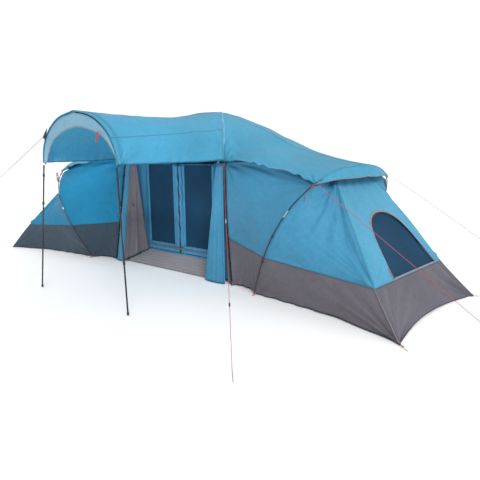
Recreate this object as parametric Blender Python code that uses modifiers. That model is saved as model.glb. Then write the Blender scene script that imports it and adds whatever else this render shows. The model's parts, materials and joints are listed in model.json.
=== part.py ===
"""Family tunnel tent with a standing hub, two sleeping wings and a front canopy.

Metres, +Z up. The origin is on the ground under the highest point of the roof. +X runs to the
right wing, -Y to the canopy and the door.
"""

import math

import bmesh
import bpy
import numpy as np
from mathutils import Matrix, Vector

# Fabric and pole stock
FABRIC = 0.003
HUB_POLE_R = 0.008
ARCH_POLE_R = 0.0055
UPRIGHT_R = 0.008
ROPE_R = 0.0022
SEAM_GAP = 0.004
POLE_CLEARANCE = 0.016
CREST_CLEARANCE = 0.014
EAVE_CLEARANCE = 0.024

# A hub pole from its front foot up to the eave. Its rear end is the same, turned round
HUB_LEG = (
    (0.990, -1.130, 0.020),
    (0.949, -1.111, 0.300),
    (0.878, -1.075, 0.820),
    (0.805, -1.003, 1.360),
)
HUB_EAVE_Z = 1.360
# Its bow, on over the crossing above the origin and down to the rear, which drops sooner
HUB_BOW = (
    (0.610, -0.750, 1.700),
    (0.340, -0.420, 1.910),
    (0.000, 0.000, 1.985),
    (-0.340, 0.420, 1.840),
    (-0.610, 0.750, 1.645),
)
LOWER_POLE_DROP = 0.019

# The wings turn towards the canopy by this angle; A runs out along a wing and B across it
WING_TURN = math.radians(12.5)
WING_START_Y = -0.070
ARCH_FOOT_A = 1.585
ARCH_LEAN = 0.509
ARCH_HALF = (
    (0.850, 0.020),
    (0.920, 0.270),
    (0.965, 0.550),
    (0.955, 0.750),
    (0.900, 0.940),
    (0.800, 1.080),
    (0.660, 1.195),
    (0.360, 1.298),
    (0.000, 1.335),
)
SHOULDER_B = 0.660
SHOULDER_Z = 1.195
ARCH_INSET = 0.019
INNER_SCALE_Z = 0.986

# Each wing's end wall leans back towards the hub; its two edges as (b, z)
END_A = 3.200
END_LEAN = 0.835
END_TOP_Z = 1.260
END_EDGE_FRONT = (
    (-0.834, 0.000),
    (-0.793, 0.170),
    (-0.737, 0.350),
    (-0.652, 0.540),
    (-0.553, 0.740),
    (-0.447, 0.970),
    (-0.310, 1.260),
)
END_EDGE_REAR = (
    (0.804, 0.000),
    (0.700, 0.170),
    (0.615, 0.350),
    (0.570, 0.540),
    (0.535, 0.740),
    (0.450, 0.970),
    (0.310, 1.260),
)

# Walls: the seam between skirt and wall falls from the hub to the wing's end. Between its
# pegs the hem is pulled in along the ground by its tuck
SEAM_HUB_Z = 0.530
SEAM_ARCH_Z = 0.460
SEAM_END_Z = 0.365
HEM_Z = 0.005
HEM_LIFT = 0.012
HUB_HEM_TUCK = 0.060
WING_HEM_TUCK = 0.080
END_HEM_TUCK = 0.110
REAR_HEM_TUCK = 0.040
WALL_TOP_Z = 1.352
EAVE_BULGE = 0.085
REAR_WALL_TOP_Z = 1.235

# End window: half widths by height, about a middle a little behind the wing's own
WINDOW_MIDDLE_B = 0.040
WINDOW_HALF = (
    (0.437, 0.376),
    (0.418, 0.450),
    (0.392, 0.530),
    (0.345, 0.670),
    (0.308, 0.740),
    (0.268, 0.795),
    (0.200, 0.848),
    (0.110, 0.882),
)
WINDOW_TOP_Z = 0.893

# Wing roof: half sections from its ridge to its edge as (a, b, z), then the lip at its end
WING_ROOF_SECTIONS = (
    ((0.911, 0, 1.735), (0.940, 0.300, 1.665), (1.030, 0.570, 1.530), (1.150, 0.742, 1.372)),
    ((1.410, 0, 1.530), (1.410, 0.300, 1.490), (1.430, 0.570, 1.440), (1.450, 0.745, 1.360)),
    ((1.860, 0, 1.428), (1.860, 0.300, 1.398), (1.860, 0.550, 1.348), (1.860, 0.720, 1.300)),
    ((2.270, 0, 1.354), (2.252, 0.360, 1.318), (2.220, 0.550, 1.262), (2.195, 0.680, 1.205)),
)
# Where along the rear eave each roof section's edge comes, and how far the eave bows out
REAR_EAVE_SHARES = (0.20, 0.43, 0.72, 1.0)
REAR_EAVE_BOW = 0.020
LIP_U = 11 / 13
LIP_REACH = 0.070
LIP_EDGE_DROP = 0.018
LIP_DROP = 0.095

# Canopy
CANOPY_MIDDLE = (
    (0.000, -1.00, 1.872),
    (0.280, -1.16, 1.845),
    (0.520, -1.33, 1.740),
    (0.660, -1.47, 1.580),
    (0.705, -1.56, 1.372),
)
CANOPY_ARCH_HALF = (
    (0.578, 1.352),
    (0.548, 1.500),
    (0.450, 1.655),
    (0.255, 1.787),
    (0.000, 1.843),
)
CANOPY_ARCH_Y = -2.272
CANOPY_EDGE_Y = -2.288
UPRIGHT_FOOT = (0.713, -2.376, 0.004)
UPRIGHT_TOP = (0.580, -2.292, 1.342)

# Door
DOOR_Y = -0.875
DOOR_HALF_WIDTH = 0.565
DOOR_BOTTOM_Z = 0.178
DOOR_TOP_Z = 1.345
DOOR_GAP = 0.006
JAMB_X = 0.610
SILL_HALF_BOTTOM = 0.820
SILL_HALF_TOP = 0.580
SILL_FRONT_Y = -1.085
SILL_TOP_Z = 0.160

# Door curtains: gathered cones, flattened front to back
CURTAIN_HEIGHT = 1.320
CURTAIN_FOOT_Z = 0.012
CURTAIN_FOOT_R = 0.145
CURTAIN_TOP_R = 0.062
CURTAIN_X = 0.752
CURTAIN_FOOT_Y = -1.150
CURTAIN_LEAN = 0.110
CURTAIN_FLAT_FOOT = 0.16
CURTAIN_FLAT_GROWTH = 0.14

# Groundsheets
HUB_SHEET_HALF_X = 0.925
HUB_SHEET_FRONT_Y = 1.055
HUB_SHEET_REAR_Y = 1.060
WING_SHEET_NEAR_X = 0.932
WING_SHEET_REAR_Y = 1.040
WING_SHEET_START_A = 1.620
WING_SHEET_END_A = 2.980
WING_SHEET_HALF = 0.700

# Bedroom dividers: half outline as (y, z), and the arched doorway
DIVIDER_X = 0.850
DIVIDER_HALF = ((0.955, 0.008), (0.870, 1.280), (0.480, 1.500), (0.0, 1.640))
DOORWAY_HALF = 0.42
DOORWAY_FOOT_Z = 0.10
DOORWAY_SPRING_Z = 1.00
DOORWAY_RISE = 0.34

# Guy ropes: where each leaves its tab and where its peg holds it
ROPE_END_Z = 0.012
CANOPY_ROPE = ((-0.520, -2.310, 1.620), (-2.700, -3.077, ROPE_END_Z))
HUB_ROPE = ((0.835, -1.045, 1.350), (2.057, -2.600, ROPE_END_Z))
RUNNER_SHARE = 0.78
RUNNER_LENGTH = 0.030
PEG_LENGTH = 0.170
PEG_R = 0.0025
PEG_STAND_OFF = 0.005

BLUE = (0.10, 0.42, 0.66, 1.0)
ROOF_BLUE = (0.16, 0.50, 0.72, 1.0)
GREY = (0.16, 0.15, 0.17, 1.0)
MESH_DARK = (0.02, 0.05, 0.09, 1.0)
BLACK = (0.012, 0.012, 0.014, 1.0)
STEEL = (0.45, 0.46, 0.48, 1.0)
RED = (0.60, 0.05, 0.05, 1.0)
PALE_GREY = (0.42, 0.40, 0.42, 1.0)


def clear_scene():
    for obj in list(bpy.data.objects):
        bpy.data.objects.remove(obj, do_unlink=True)


def make_collection(name):
    found = bpy.data.collections.new(name)
    bpy.context.scene.collection.children.link(found)
    return found


def make_material(name, colour, roughness, metallic=0.0):
    material = bpy.data.materials.new(name)
    material.use_nodes = True
    shader = material.node_tree.nodes["Principled BSDF"]
    shader.inputs["Base Color"].default_value = colour
    shader.inputs["Roughness"].default_value = roughness
    shader.inputs["Metallic"].default_value = metallic
    return material


def smooth_points(points, count):
    """count points, evenly spread, on a smooth curve through the given ones."""
    p = np.array(points, float)
    p = np.vstack([2 * p[0] - p[1], p, 2 * p[-1] - p[-2]])
    spans = len(p) - 3
    fine = []
    for i in range(spans):
        a, b, c, d = p[i : i + 4]
        for t in np.linspace(0.0, 1.0, 24, endpoint=i == spans - 1):
            fine.append(
                0.5
                * (
                    2 * b
                    + (c - a) * t
                    + (2 * a - 5 * b + 4 * c - d) * t**2
                    + (3 * b - a - 3 * c + d) * t**3
                )
            )
    fine = np.array(fine)
    run = np.concatenate([[0.0], np.cumsum(np.linalg.norm(np.diff(fine, axis=0), axis=1))])
    where = np.linspace(0.0, run[-1], count)
    return np.column_stack([np.interp(where, run, fine[:, k]) for k in range(fine.shape[1])])


def wing_to_world(side, a, b, z):
    """World place of a point given along (a) and across (b) the wing on this side."""
    x = a * math.cos(WING_TURN) + b * math.sin(WING_TURN)
    y = WING_START_Y - a * math.sin(WING_TURN) + b * math.cos(WING_TURN)
    return Vector((side * x, y, z))


def link(obj, material, smooth=True):
    obj.data.materials.append(material)
    PARTS.objects.link(obj)
    if smooth and obj.type == "MESH":
        obj.data.shade_smooth()
        obj.data.set_sharp_from_angle(angle=math.radians(35))
    return obj


def tube(name, points, radius, material):
    curve = bpy.data.curves.new(name, "CURVE")
    curve.dimensions = "3D"
    curve.bevel_depth = radius
    curve.bevel_resolution = 2
    curve.use_fill_caps = True
    spline = curve.splines.new("POLY")
    spline.points.add(len(points) - 1)
    for point, place in zip(spline.points, points):
        point.co = (*place, 1.0)
    return link(bpy.data.objects.new(name, curve), material)


def sheet(name, place, columns, rows, material, thickness=FABRIC):
    """A fabric panel: place(u, v) gives its surface for u and v from 0 to 1."""
    bm = bmesh.new()
    bmesh.ops.create_grid(bm, x_segments=columns, y_segments=rows, size=0.5)
    for vert in bm.verts:
        vert.co = place(vert.co.x + 0.5, vert.co.y + 0.5)
    bmesh.ops.recalc_face_normals(bm, faces=bm.faces)
    mesh = bpy.data.meshes.new(name)
    bm.to_mesh(mesh)
    bm.free()
    obj = link(bpy.data.objects.new(name, mesh), material)
    solidify = obj.modifiers.new("fabric", "SOLIDIFY")
    solidify.thickness = thickness
    solidify.offset = 0.0
    return obj


def outline_mesh(name, loops, thickness, matrix):
    """A flat plate: the first loop is its edge and the others are holes. It lies in the
    matrix's XY plane."""
    curve = bpy.data.curves.new(name, "CURVE")
    curve.dimensions = "2D"
    curve.fill_mode = "BOTH"
    curve.extrude = thickness / 2
    for loop in loops:
        spline = curve.splines.new("POLY")
        spline.points.add(len(loop) - 1)
        spline.use_cyclic_u = True
        for point, (x, y) in zip(spline.points, loop):
            point.co = (x, y, 0.0, 1.0)
    temporary = bpy.data.objects.new(name, curve)
    bpy.context.scene.collection.objects.link(temporary)
    bpy.context.view_layer.update()
    graph = bpy.context.evaluated_depsgraph_get()
    mesh = bpy.data.meshes.new_from_object(temporary.evaluated_get(graph))
    bpy.data.objects.remove(temporary, do_unlink=True)
    bm = bmesh.new()
    bm.from_mesh(mesh)
    bmesh.ops.remove_doubles(bm, verts=bm.verts, dist=0.00002)
    bmesh.ops.recalc_face_normals(bm, faces=bm.faces)
    bm.to_mesh(mesh)
    bm.free()
    obj = bpy.data.objects.new(name, mesh)
    obj.matrix_world = matrix
    return obj


def plate(name, loops, thickness, matrix, material):
    return link(outline_mesh(name, loops, thickness, matrix), material, smooth=False)


def cut(obj, cutter):
    cutter.hide_render = True
    cutter.display_type = "WIRE"
    CUTTERS.objects.link(cutter)
    boolean = obj.modifiers.new("opening", "BOOLEAN")
    boolean.operation = "DIFFERENCE"
    boolean.solver = "EXACT"
    boolean.object = cutter


def ring(name, start, direction, length, inner, outer, material):
    """A short sleeve around a rope, turned about its own axis."""
    mesh = bpy.data.meshes.new(name)
    corners = [
        (inner, 0.0, length / 2),
        (outer, 0.0, length / 2),
        (outer, 0.0, -length / 2),
        (inner, 0.0, -length / 2),
    ]
    mesh.from_pydata(corners, [(0, 1), (1, 2), (2, 3), (3, 0)], [])
    obj = link(bpy.data.objects.new(name, mesh), material, smooth=False)
    screw = obj.modifiers.new("turn", "SCREW")
    screw.steps = 12
    screw.render_steps = 12
    screw.use_merge_vertices = True
    screw.merge_threshold = 0.0001
    obj.rotation_euler = Vector(direction).to_track_quat("Z", "Y").to_euler()
    obj.location = start
    return obj


# Poles


def hub_pole_points(side, drop, count=41):
    """A hub pole from its front foot, over the crossing, to the opposite rear foot."""
    rear_leg = [(-x, -y, z) for x, y, z in HUB_LEG[::-1]]
    points = []
    for x, y, z in HUB_LEG + HUB_BOW + tuple(rear_leg):
        points.append((side * x, y, z - drop * (z / HUB_BOW[2][2]) ** 4))
    return smooth_points(points, count)


def hub_poles():
    tube("hub_pole_upper", hub_pole_points(1, 0.0), HUB_POLE_R, MATERIALS["pole"])
    tube("hub_pole_lower", hub_pole_points(-1, LOWER_POLE_DROP), HUB_POLE_R, MATERIALS["pole"])


def arch_outline():
    """The wing arch as (b, z) from one foot over the top to the other."""
    near = [(-b, z) for b, z in ARCH_HALF]
    far = [(b, z) for b, z in ARCH_HALF[:-1]][::-1]
    return smooth_points(near + far, 43)


def wing_arches():
    for side, name in SIDES:
        points = [
            wing_to_world(side, ARCH_FOOT_A + ARCH_LEAN * z, b, z) for b, z in arch_outline()
        ]
        tube(f"wing_arch_{name}", points, ARCH_POLE_R, MATERIALS["pole"])


def canopy_frame():
    near = [(-x, CANOPY_ARCH_Y, z) for x, z in CANOPY_ARCH_HALF]
    far = [(x, CANOPY_ARCH_Y, z) for x, z in CANOPY_ARCH_HALF[:-1]][::-1]
    tube("canopy_arch", smooth_points(near + far, 27), ARCH_POLE_R, MATERIALS["pole"])
    for side, name in SIDES:
        foot = (side * UPRIGHT_FOOT[0], *UPRIGHT_FOOT[1:])
        top = (side * UPRIGHT_TOP[0], *UPRIGHT_TOP[1:])
        tube(f"canopy_upright_{name}", [foot, top], UPRIGHT_R, MATERIALS["pole"])


def pole_pin(name, foot, outward):
    """A bent steel pin from a pole's open end to the peg loop beside it."""
    x, y = foot
    dx, dy = outward
    heights = ((0.0, 0.0150), (0.0, 0.0085), (0.008, 0.0045), (0.045, 0.0040))
    points = [(x + dx * run, y + dy * run, z) for run, z in heights]
    tube(name, points, 0.003, MATERIALS["steel"])


def pole_pins():
    for side, name in SIDES:
        for front, where in ((1, "front"), (-1, "rear")):
            x, y, _ = HUB_LEG[0]
            pole_pin(f"hub_pin_{where}_{name}", (side * x, front * y), (side * 0.7, -front * 0.7))
            place = wing_to_world(side, ARCH_FOOT_A + ARCH_LEAN * 0.02, -front * ARCH_HALF[0][0], 0)
            out = wing_to_world(side, 0.3, -front, 0) - wing_to_world(side, 0, 0, 0)
            pole_pin(f"arch_pin_{where}_{name}", place.xy[:], out.xy[:])


# Roof


def hub_pole_half(side, front):
    """Sampler of the line just above a hub pole, from the crossing (t=0) to the eave (t=1)."""
    whole = hub_pole_points(side * front, 0.0, 401)
    fine = np.array([p for p in whole if p[2] >= HUB_EAVE_Z and -front * p[1] >= 0.0])
    if front > 0:
        fine = fine[::-1]
    steps = np.linspace(0, 1, len(fine))

    def on_pole(t):
        return Vector([float(np.interp(t, steps, fine[:, k])) for k in range(3)])

    def place(t):
        centre = on_pole(t)
        along = on_pole(min(t + 0.05, 1.0)) - on_pole(max(t - 0.05, 0.0))
        across = Vector((0, 0, 1)).cross(along)
        outward = along.cross(across).normalized()
        return centre + outward * (CREST_CLEARANCE + (EAVE_CLEARANCE - CREST_CLEARANCE) * t)

    return place


def profile(points):
    """Sampler of a half section, from its ridge (t=0) to its edge (t=1)."""
    fine = smooth_points(points, 33)

    def place(t):
        return [float(np.interp(t, np.linspace(0, 1, 33), fine[:, k])) for k in range(3)]

    return place


def through(stations, s):
    """The smooth curve through a few places, at s from 0 to 1."""
    fine = smooth_points([tuple(p) for p in stations], 33)
    return Vector([float(np.interp(s, np.linspace(0, 1, 33), fine[:, k])) for k in range(3)])


def rear_eave_moves(side, sections, corner):
    """How far each section's rear edge moves for the roof to cover the rear wall."""
    edges = []
    for section in sections:
        a, b, z = section(1)
        edges.append(wing_to_world(side, a, b, z))
    line = edges[-1] - corner
    outward = Vector((side * abs(line.y), abs(line.x), 0)).normalized()
    moves = []
    for edge, share in zip(edges, REAR_EAVE_SHARES):
        target = corner + line * share + outward * (4 * REAR_EAVE_BOW * share * (1 - share))
        moves.append(Vector((target.x - edge.x, target.y - edge.y, 0)))
    return moves


def wing_roof(side, name):
    front_line = hub_pole_half(side, 1)
    rear_line = hub_pole_half(side, -1)
    sections = [profile(points) for points in WING_ROOF_SECTIONS]
    rear_moves = rear_eave_moves(side, sections, rear_line(1) + Vector((side * SEAM_GAP, 0, 0)))

    def place(u, v):
        t = 2 * v - 1
        across = abs(t)
        sign = 1 if t > 0 else -1
        stations = [(rear_line if t > 0 else front_line)(across) + Vector((side * SEAM_GAP, 0, 0))]
        for section, move in zip(sections, rear_moves):
            a, b, z = section(across)
            point = wing_to_world(side, a, sign * b, z)
            stations.append(point + move * across**2 if t > 0 else point)
        if u <= LIP_U:
            return through(stations, u / LIP_U)
        over = LIP_REACH * (1 - across**2)
        drop = LIP_EDGE_DROP + LIP_DROP * (1 - across**2)
        lip = wing_to_world(side, a + over, sign * b, z - drop)
        return stations[-1].lerp(lip, (u - LIP_U) / (1 - LIP_U))

    sheet(f"roof_wing_{name}", place, 13, 14, MATERIALS["roof"])


def canopy_roof():
    right_line = hub_pole_half(1, 1)
    left_line = hub_pole_half(-1, 1)
    middle = profile(CANOPY_MIDDLE)
    front = profile(
        [(x * 1.024, CANOPY_EDGE_Y, z + 0.017) for x, z in CANOPY_ARCH_HALF[::-1]]
    )

    def place(u, v):
        t = 2 * v - 1
        across = abs(t)
        sign = 1 if t > 0 else -1
        hub = (right_line if t > 0 else left_line)(across) - Vector((0, SEAM_GAP, 0))
        x, y, z = middle(across)
        mid = Vector((sign * x, y, z))
        x, y, z = front(across)
        edge = Vector((sign * x, y, z))
        return through((hub, mid, edge), u)

    sheet("roof_canopy", place, 13, 16, MATERIALS["roof"])


def rear_roof():
    right_line = hub_pole_half(1, -1)
    left_line = hub_pole_half(-1, -1)

    def place(u, v):
        t = 2 * v - 1
        across = abs(t)
        hub = (right_line if t > 0 else left_line)(across) + Vector((0, SEAM_GAP, 0))
        edge = Vector((t * 0.822, 1.042 + 0.045 * (1 - t * t), 1.290 - 0.040 * (1 - t * t)))
        mid = hub.lerp(edge, 0.5) + Vector((0, 0.05, 0.10)) * (1 - t * t)
        return through((hub, mid, edge), u)

    sheet("roof_rear", place, 8, 12, MATERIALS["roof"])


# Walls


def by_height(points):
    """Sampler of a rising line of points by its height."""
    fine = smooth_points(points, 65)

    def place(z):
        return Vector([float(np.interp(z, fine[:, 2], fine[:, k])) for k in range(2)] + [z])

    return place


def hub_line(side, front, inset):
    """The wall's line just inside a hub pole."""
    return by_height(
        [
            (side * (x + inset), front * (y + POLE_CLEARANCE), z)
            for x, y, z in HUB_LEG
        ]
    )


def arch_line(side, front):
    """The wall's line just inside a wing arch."""
    points = []
    for b, z in ARCH_HALF:
        if z <= SHOULDER_Z:
            a = ARCH_FOOT_A + ARCH_LEAN * z
            across = -front * (b - ARCH_INSET)
            points.append(wing_to_world(side, a, across, z * INNER_SCALE_Z)[:])
    return by_height(points)


def end_edge_b(front, z):
    edge = smooth_points(END_EDGE_FRONT if front > 0 else END_EDGE_REAR, 65)
    return float(np.interp(z, edge[:, 1], edge[:, 0]))


def end_line(side, front):
    """A side edge of a wing's end wall."""

    def place(z):
        return wing_to_world(side, END_A - END_LEAN * z, end_edge_b(front, z), z)

    return place


def wing_side_wall(side, name, front, where):
    lines = (hub_line(side, front, 0.004), arch_line(side, front), end_line(side, front))
    tops = (WALL_TOP_Z, SHOULDER_Z * INNER_SCALE_Z, END_TOP_Z)
    seams = (SEAM_HUB_Z, SEAM_ARCH_Z, SEAM_END_Z)
    tucks = (HUB_HEM_TUCK, WING_HEM_TUCK)
    arch_u = 6 / 14
    inward = wing_to_world(side, 0, front, 0) - wing_to_world(side, 0, 0, 0)
    short = wing_to_world(side, -SEAM_GAP, 0, 0) - wing_to_world(side, 0, 0, 0)

    def span(u):
        """Which span u is in, and how far along it."""
        if u <= arch_u:
            return 0, u / arch_u
        return 1, (u - arch_u) / (1 - arch_u)

    def at(u, low, high, v):
        i, k = span(u)
        bulge = EAVE_BULGE * 4 * k * (1 - k) * v * high[3] if i == 0 else 0.0
        from_z = low[i] + (high[i] - low[i]) * v + bulge
        to_z = low[i + 1] + (high[i + 1] - low[i + 1]) * v + bulge
        return lines[i](from_z).lerp(lines[i + 1](to_z), k) + short * (i * k)

    def wall(u, v):
        return at(u, [z + SEAM_GAP for z in seams], (*tops, 1), v)

    def skirt(u, v):
        i, k = span(u)
        bow = 4 * k * (1 - k)
        point = at(u, [HEM_Z + HEM_LIFT * bow] * 3, (*seams, 0), v)
        return point + inward * (tucks[i] * bow * (1 - v))

    sheet(f"wall_{where}_{name}", wall, 14, 7, MATERIALS["wall"])
    sheet(f"skirt_{where}_{name}", skirt, 14, 3, MATERIALS["skirt"])


def end_place(side, u, z):
    """A point of a wing's end wall at height z, for u from 0 at the front to 1 at the rear."""
    front = end_edge_b(1, z) + SEAM_GAP
    rear = end_edge_b(-1, z) - SEAM_GAP
    return wing_to_world(side, END_A - END_LEAN * z, front + (rear - front) * u, z)


def window_outline(inset):
    """The end window in the end wall's plane: x across, y up the slope from its sill."""
    slope = math.hypot(END_LEAN, 1.0)
    sill_z = WINDOW_HALF[0][1]
    half = [(b - inset, (z - sill_z) * slope) for b, z in WINDOW_HALF]
    half[0] = (half[0][0], inset)
    top = (0.0, (WINDOW_TOP_Z - sill_z) * slope - inset)
    return half + [top] + [(-x, y) for x, y in half[::-1]]


def end_plane(side):
    """Frame of the end window: X across, Y up the slope, Z outwards, from its sill's middle."""
    sill_z = WINDOW_HALF[0][1]
    low = wing_to_world(side, END_A - END_LEAN * sill_z, WINDOW_MIDDLE_B, sill_z)
    high = wing_to_world(side, END_A - END_LEAN * END_TOP_Z, WINDOW_MIDDLE_B, END_TOP_Z)
    up = (high - low).normalized()
    across = wing_to_world(side, 0, side, 0) - wing_to_world(side, 0, 0, 0)
    rotation = Matrix((across, up, across.cross(up))).transposed().to_4x4()
    return Matrix.Translation(low) @ rotation


def wing_end(side, name):
    def wall(u, v):
        low = SEAM_END_Z + SEAM_GAP
        return end_place(side, u, low + (END_TOP_Z - low) * v)

    inward = wing_to_world(side, -1, 0, 0) - wing_to_world(side, 0, 0, 0)

    def skirt(u, v):
        bow = 4 * u * (1 - u)
        low = HEM_Z + HEM_LIFT * bow
        point = end_place(side, u, low + (SEAM_END_Z - low) * v)
        return point + inward * (END_HEM_TUCK * bow * (1 - v))

    panel = sheet(f"wall_end_{name}", wall, 10, 8, MATERIALS["wall"])
    frame = end_plane(side)
    cut(panel, outline_mesh(f"window_cutter_{name}", [window_outline(0.0)], 0.20, frame))
    sheet(f"skirt_end_{name}", skirt, 10, 3, MATERIALS["skirt"])
    plate(f"end_window_{name}", [window_outline(0.006)], 0.002, frame, MATERIALS["mesh"])


def rear_hub_walls():
    lines = []
    for side in (-1, 1):
        lines.append(
            by_height(
                [
                    (side * (x - POLE_CLEARANCE), -y - 0.006, z)
                    for x, y, z in HUB_LEG
                ]
            )
        )

    def panel(low, high, tuck):
        def place(u, v):
            z = low + (high - low) * v
            inward = Vector((0, -tuck * 4 * u * (1 - u) * (1 - v), 0))
            return lines[0](z).lerp(lines[1](z), u) + inward

        return place

    wall = panel(SEAM_HUB_Z + SEAM_GAP, REAR_WALL_TOP_Z, 0.0)
    sheet("wall_rear_hub", wall, 10, 6, MATERIALS["wall"])
    skirt = panel(HEM_Z, SEAM_HUB_Z, REAR_HEM_TUCK)
    sheet("skirt_rear_hub", skirt, 10, 3, MATERIALS["skirt"])


# Door front


def upright_frame(y):
    """A frame whose X is across the tent, Y is up and Z faces the canopy."""
    return Matrix.Translation((0, y, 0)) @ Matrix.Rotation(math.radians(90), 4, "X")


def box_outline(x0, y0, x1, y1):
    return [(x0, y0), (x1, y0), (x1, y1), (x0, y1)]


def door_front():
    gap = DOOR_GAP
    edges = (hub_line(-1, 1, -0.004), hub_line(1, 1, -0.004))

    def surround(u, v):
        z = HEM_Z + (WALL_TOP_Z - HEM_Z) * v
        jambs = (Vector((-JAMB_X, DOOR_Y, z)), Vector((JAMB_X, DOOR_Y, z)))
        if u < 0.2:
            return edges[0](z).lerp(jambs[0], u / 0.2)
        if u > 0.8:
            return jambs[1].lerp(edges[1](z), (u - 0.8) / 0.2)
        return jambs[0].lerp(jambs[1], (u - 0.2) / 0.6)

    panel = sheet("door_surround", surround, 10, 6, MATERIALS["wall"])
    hole = box_outline(
        -DOOR_HALF_WIDTH - gap, DOOR_BOTTOM_Z, DOOR_HALF_WIDTH + gap, DOOR_TOP_Z - 0.010
    )
    cut(panel, outline_mesh("door_cutter", [hole], 0.20, upright_frame(DOOR_Y)))

    def sill(u, v):
        half = SILL_HALF_BOTTOM + (SILL_HALF_TOP - SILL_HALF_BOTTOM) * v
        y = SILL_FRONT_Y + (DOOR_Y - SEAM_GAP - SILL_FRONT_Y) * v
        return Vector(((2 * u - 1) * half, y, HEM_Z + (SILL_TOP_Z - HEM_Z) * v))

    sheet("door_sill", sill, 8, 3, MATERIALS["sill"])
    for side, name in SIDES:
        near = side * gap / 2
        far = side * DOOR_HALF_WIDTH
        loop = box_outline(min(near, far), DOOR_BOTTOM_Z + gap, max(near, far), DOOR_TOP_Z - 0.016)
        plate(f"mesh_door_{name}", [loop], 0.002, upright_frame(DOOR_Y), MATERIALS["mesh"])
    slider = outline_mesh(
        "door_zip_slider",
        [[(0.004, 0.0), (0.014, 0.0), (0.016, 0.018), (0.002, 0.018)]],
        0.006,
        upright_frame(DOOR_Y - 0.0060) @ Matrix.Translation((0, DOOR_BOTTOM_Z + 0.05, 0)),
    )
    link(slider, MATERIALS["steel"], smooth=False)


def door_curtains():
    for side, name in SIDES:
        bm = bmesh.new()
        bmesh.ops.create_cone(
            bm,
            cap_ends=True,
            segments=14,
            radius1=CURTAIN_FOOT_R,
            radius2=CURTAIN_TOP_R,
            depth=CURTAIN_HEIGHT,
        )
        for vert in bm.verts:
            up = vert.co.z / CURTAIN_HEIGHT + 0.5
            flat = CURTAIN_FLAT_FOOT + CURTAIN_FLAT_GROWTH * up
            vert.co.y = vert.co.y * flat + CURTAIN_FOOT_Y + CURTAIN_LEAN * up
            vert.co.x = side * (vert.co.x + CURTAIN_X)
            vert.co.z = CURTAIN_FOOT_Z + CURTAIN_HEIGHT * up
        bmesh.ops.recalc_face_normals(bm, faces=bm.faces)
        mesh = bpy.data.meshes.new(f"door_curtain_{name}")
        bm.to_mesh(mesh)
        bm.free()
        link(bpy.data.objects.new(f"door_curtain_{name}", mesh), MATERIALS["wall"])


# Inside


def groundsheets():
    level = Matrix.Translation((0, 0, FABRIC / 2))
    hub = box_outline(-HUB_SHEET_HALF_X, -HUB_SHEET_FRONT_Y, HUB_SHEET_HALF_X, HUB_SHEET_REAR_Y)
    plate("groundsheet_hub", [hub], FABRIC, level, MATERIALS["sill"])
    for side, name in SIDES:
        corners = (
            wing_to_world(side, WING_SHEET_START_A, -WING_SHEET_HALF, 0),
            wing_to_world(side, WING_SHEET_END_A, -WING_SHEET_HALF, 0),
            wing_to_world(side, WING_SHEET_END_A, WING_SHEET_HALF, 0),
            wing_to_world(side, WING_SHEET_START_A, WING_SHEET_HALF, 0),
        )
        near = (side * WING_SHEET_NEAR_X, -HUB_SHEET_FRONT_Y)
        far = (side * WING_SHEET_NEAR_X, WING_SHEET_REAR_Y)
        loop = [near] + [c.xy[:] for c in corners] + [far]
        plate(f"groundsheet_wing_{name}", [loop], FABRIC, level, MATERIALS["sill"])


def bedroom_dividers():
    for side, name in SIDES:
        frame = Matrix.Translation((side * DIVIDER_X, 0, 0)) @ Matrix(
            ((0, 0, 1, 0), (1, 0, 0, 0), (0, 1, 0, 0), (0, 0, 0, 1))
        )
        near = [(-y, z) for y, z in DIVIDER_HALF]
        edge = near + [(y, z) for y, z in DIVIDER_HALF[:-1]][::-1]
        doorway = [(-DOORWAY_HALF, DOORWAY_FOOT_Z), (DOORWAY_HALF, DOORWAY_FOOT_Z)]
        for i in range(0, 9):
            angle = math.pi * i / 8
            y = DOORWAY_HALF * math.cos(angle)
            doorway.append((y, DOORWAY_SPRING_Z + DOORWAY_RISE * math.sin(angle)))
        plate(f"bedroom_divider_{name}", [edge, doorway], 0.002, frame, MATERIALS["inner"])


# Guy ropes


def rope_routes():
    shoulder = SHOULDER_B + 0.050
    near = (
        wing_to_world(1, 2.262, -shoulder, 1.185)[:],
        wing_to_world(1, 4.234, -0.750, ROPE_END_Z)[:],
    )
    far = (
        wing_to_world(1, 2.262, shoulder, 1.185)[:],
        wing_to_world(1, 4.234, 0.780, ROPE_END_Z)[:],
    )
    return {
        "canopy_left": CANOPY_ROPE,
        "hub_right": HUB_ROPE,
        "wing_front": near,
        "wing_rear": far,
    }


def guy_ropes():
    for name, (start, end) in rope_routes().items():
        start = Vector(start)
        end = Vector(end)
        along = (end - start).normalized()
        points = [start.lerp(end, i / 11)[:] for i in range(12)]
        tube(f"guy_rope_{name}", points, ROPE_R, MATERIALS["rope"])
        place = start.lerp(end, RUNNER_SHARE)
        ring(f"rope_runner_{name}", place, along, RUNNER_LENGTH, 0.0028, 0.0065, MATERIALS["black"])
        peg(f"peg_{name}", end, along)


def peg(name, rope_end, along):
    """A steel peg with a hooked head, lying beyond its rope's end."""
    out = Vector((along.x, along.y, 0)).normalized()
    level = PEG_R + 0.0008
    base = Vector((rope_end.x, rope_end.y, 0)) + out * PEG_STAND_OFF
    points = [
        base + out * 0.020 + Vector((0, 0, 0.026)),
        base + out * 0.006 + Vector((0, 0, 0.026)),
        base + Vector((0, 0, 0.016)),
        base + out * 0.004 + Vector((0, 0, 0.006)),
        base + out * 0.014 + Vector((0, 0, level)),
        base + out * PEG_LENGTH + Vector((0, 0, level)),
    ]
    tube(name, [p[:] for p in points], PEG_R, MATERIALS["steel"])


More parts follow.
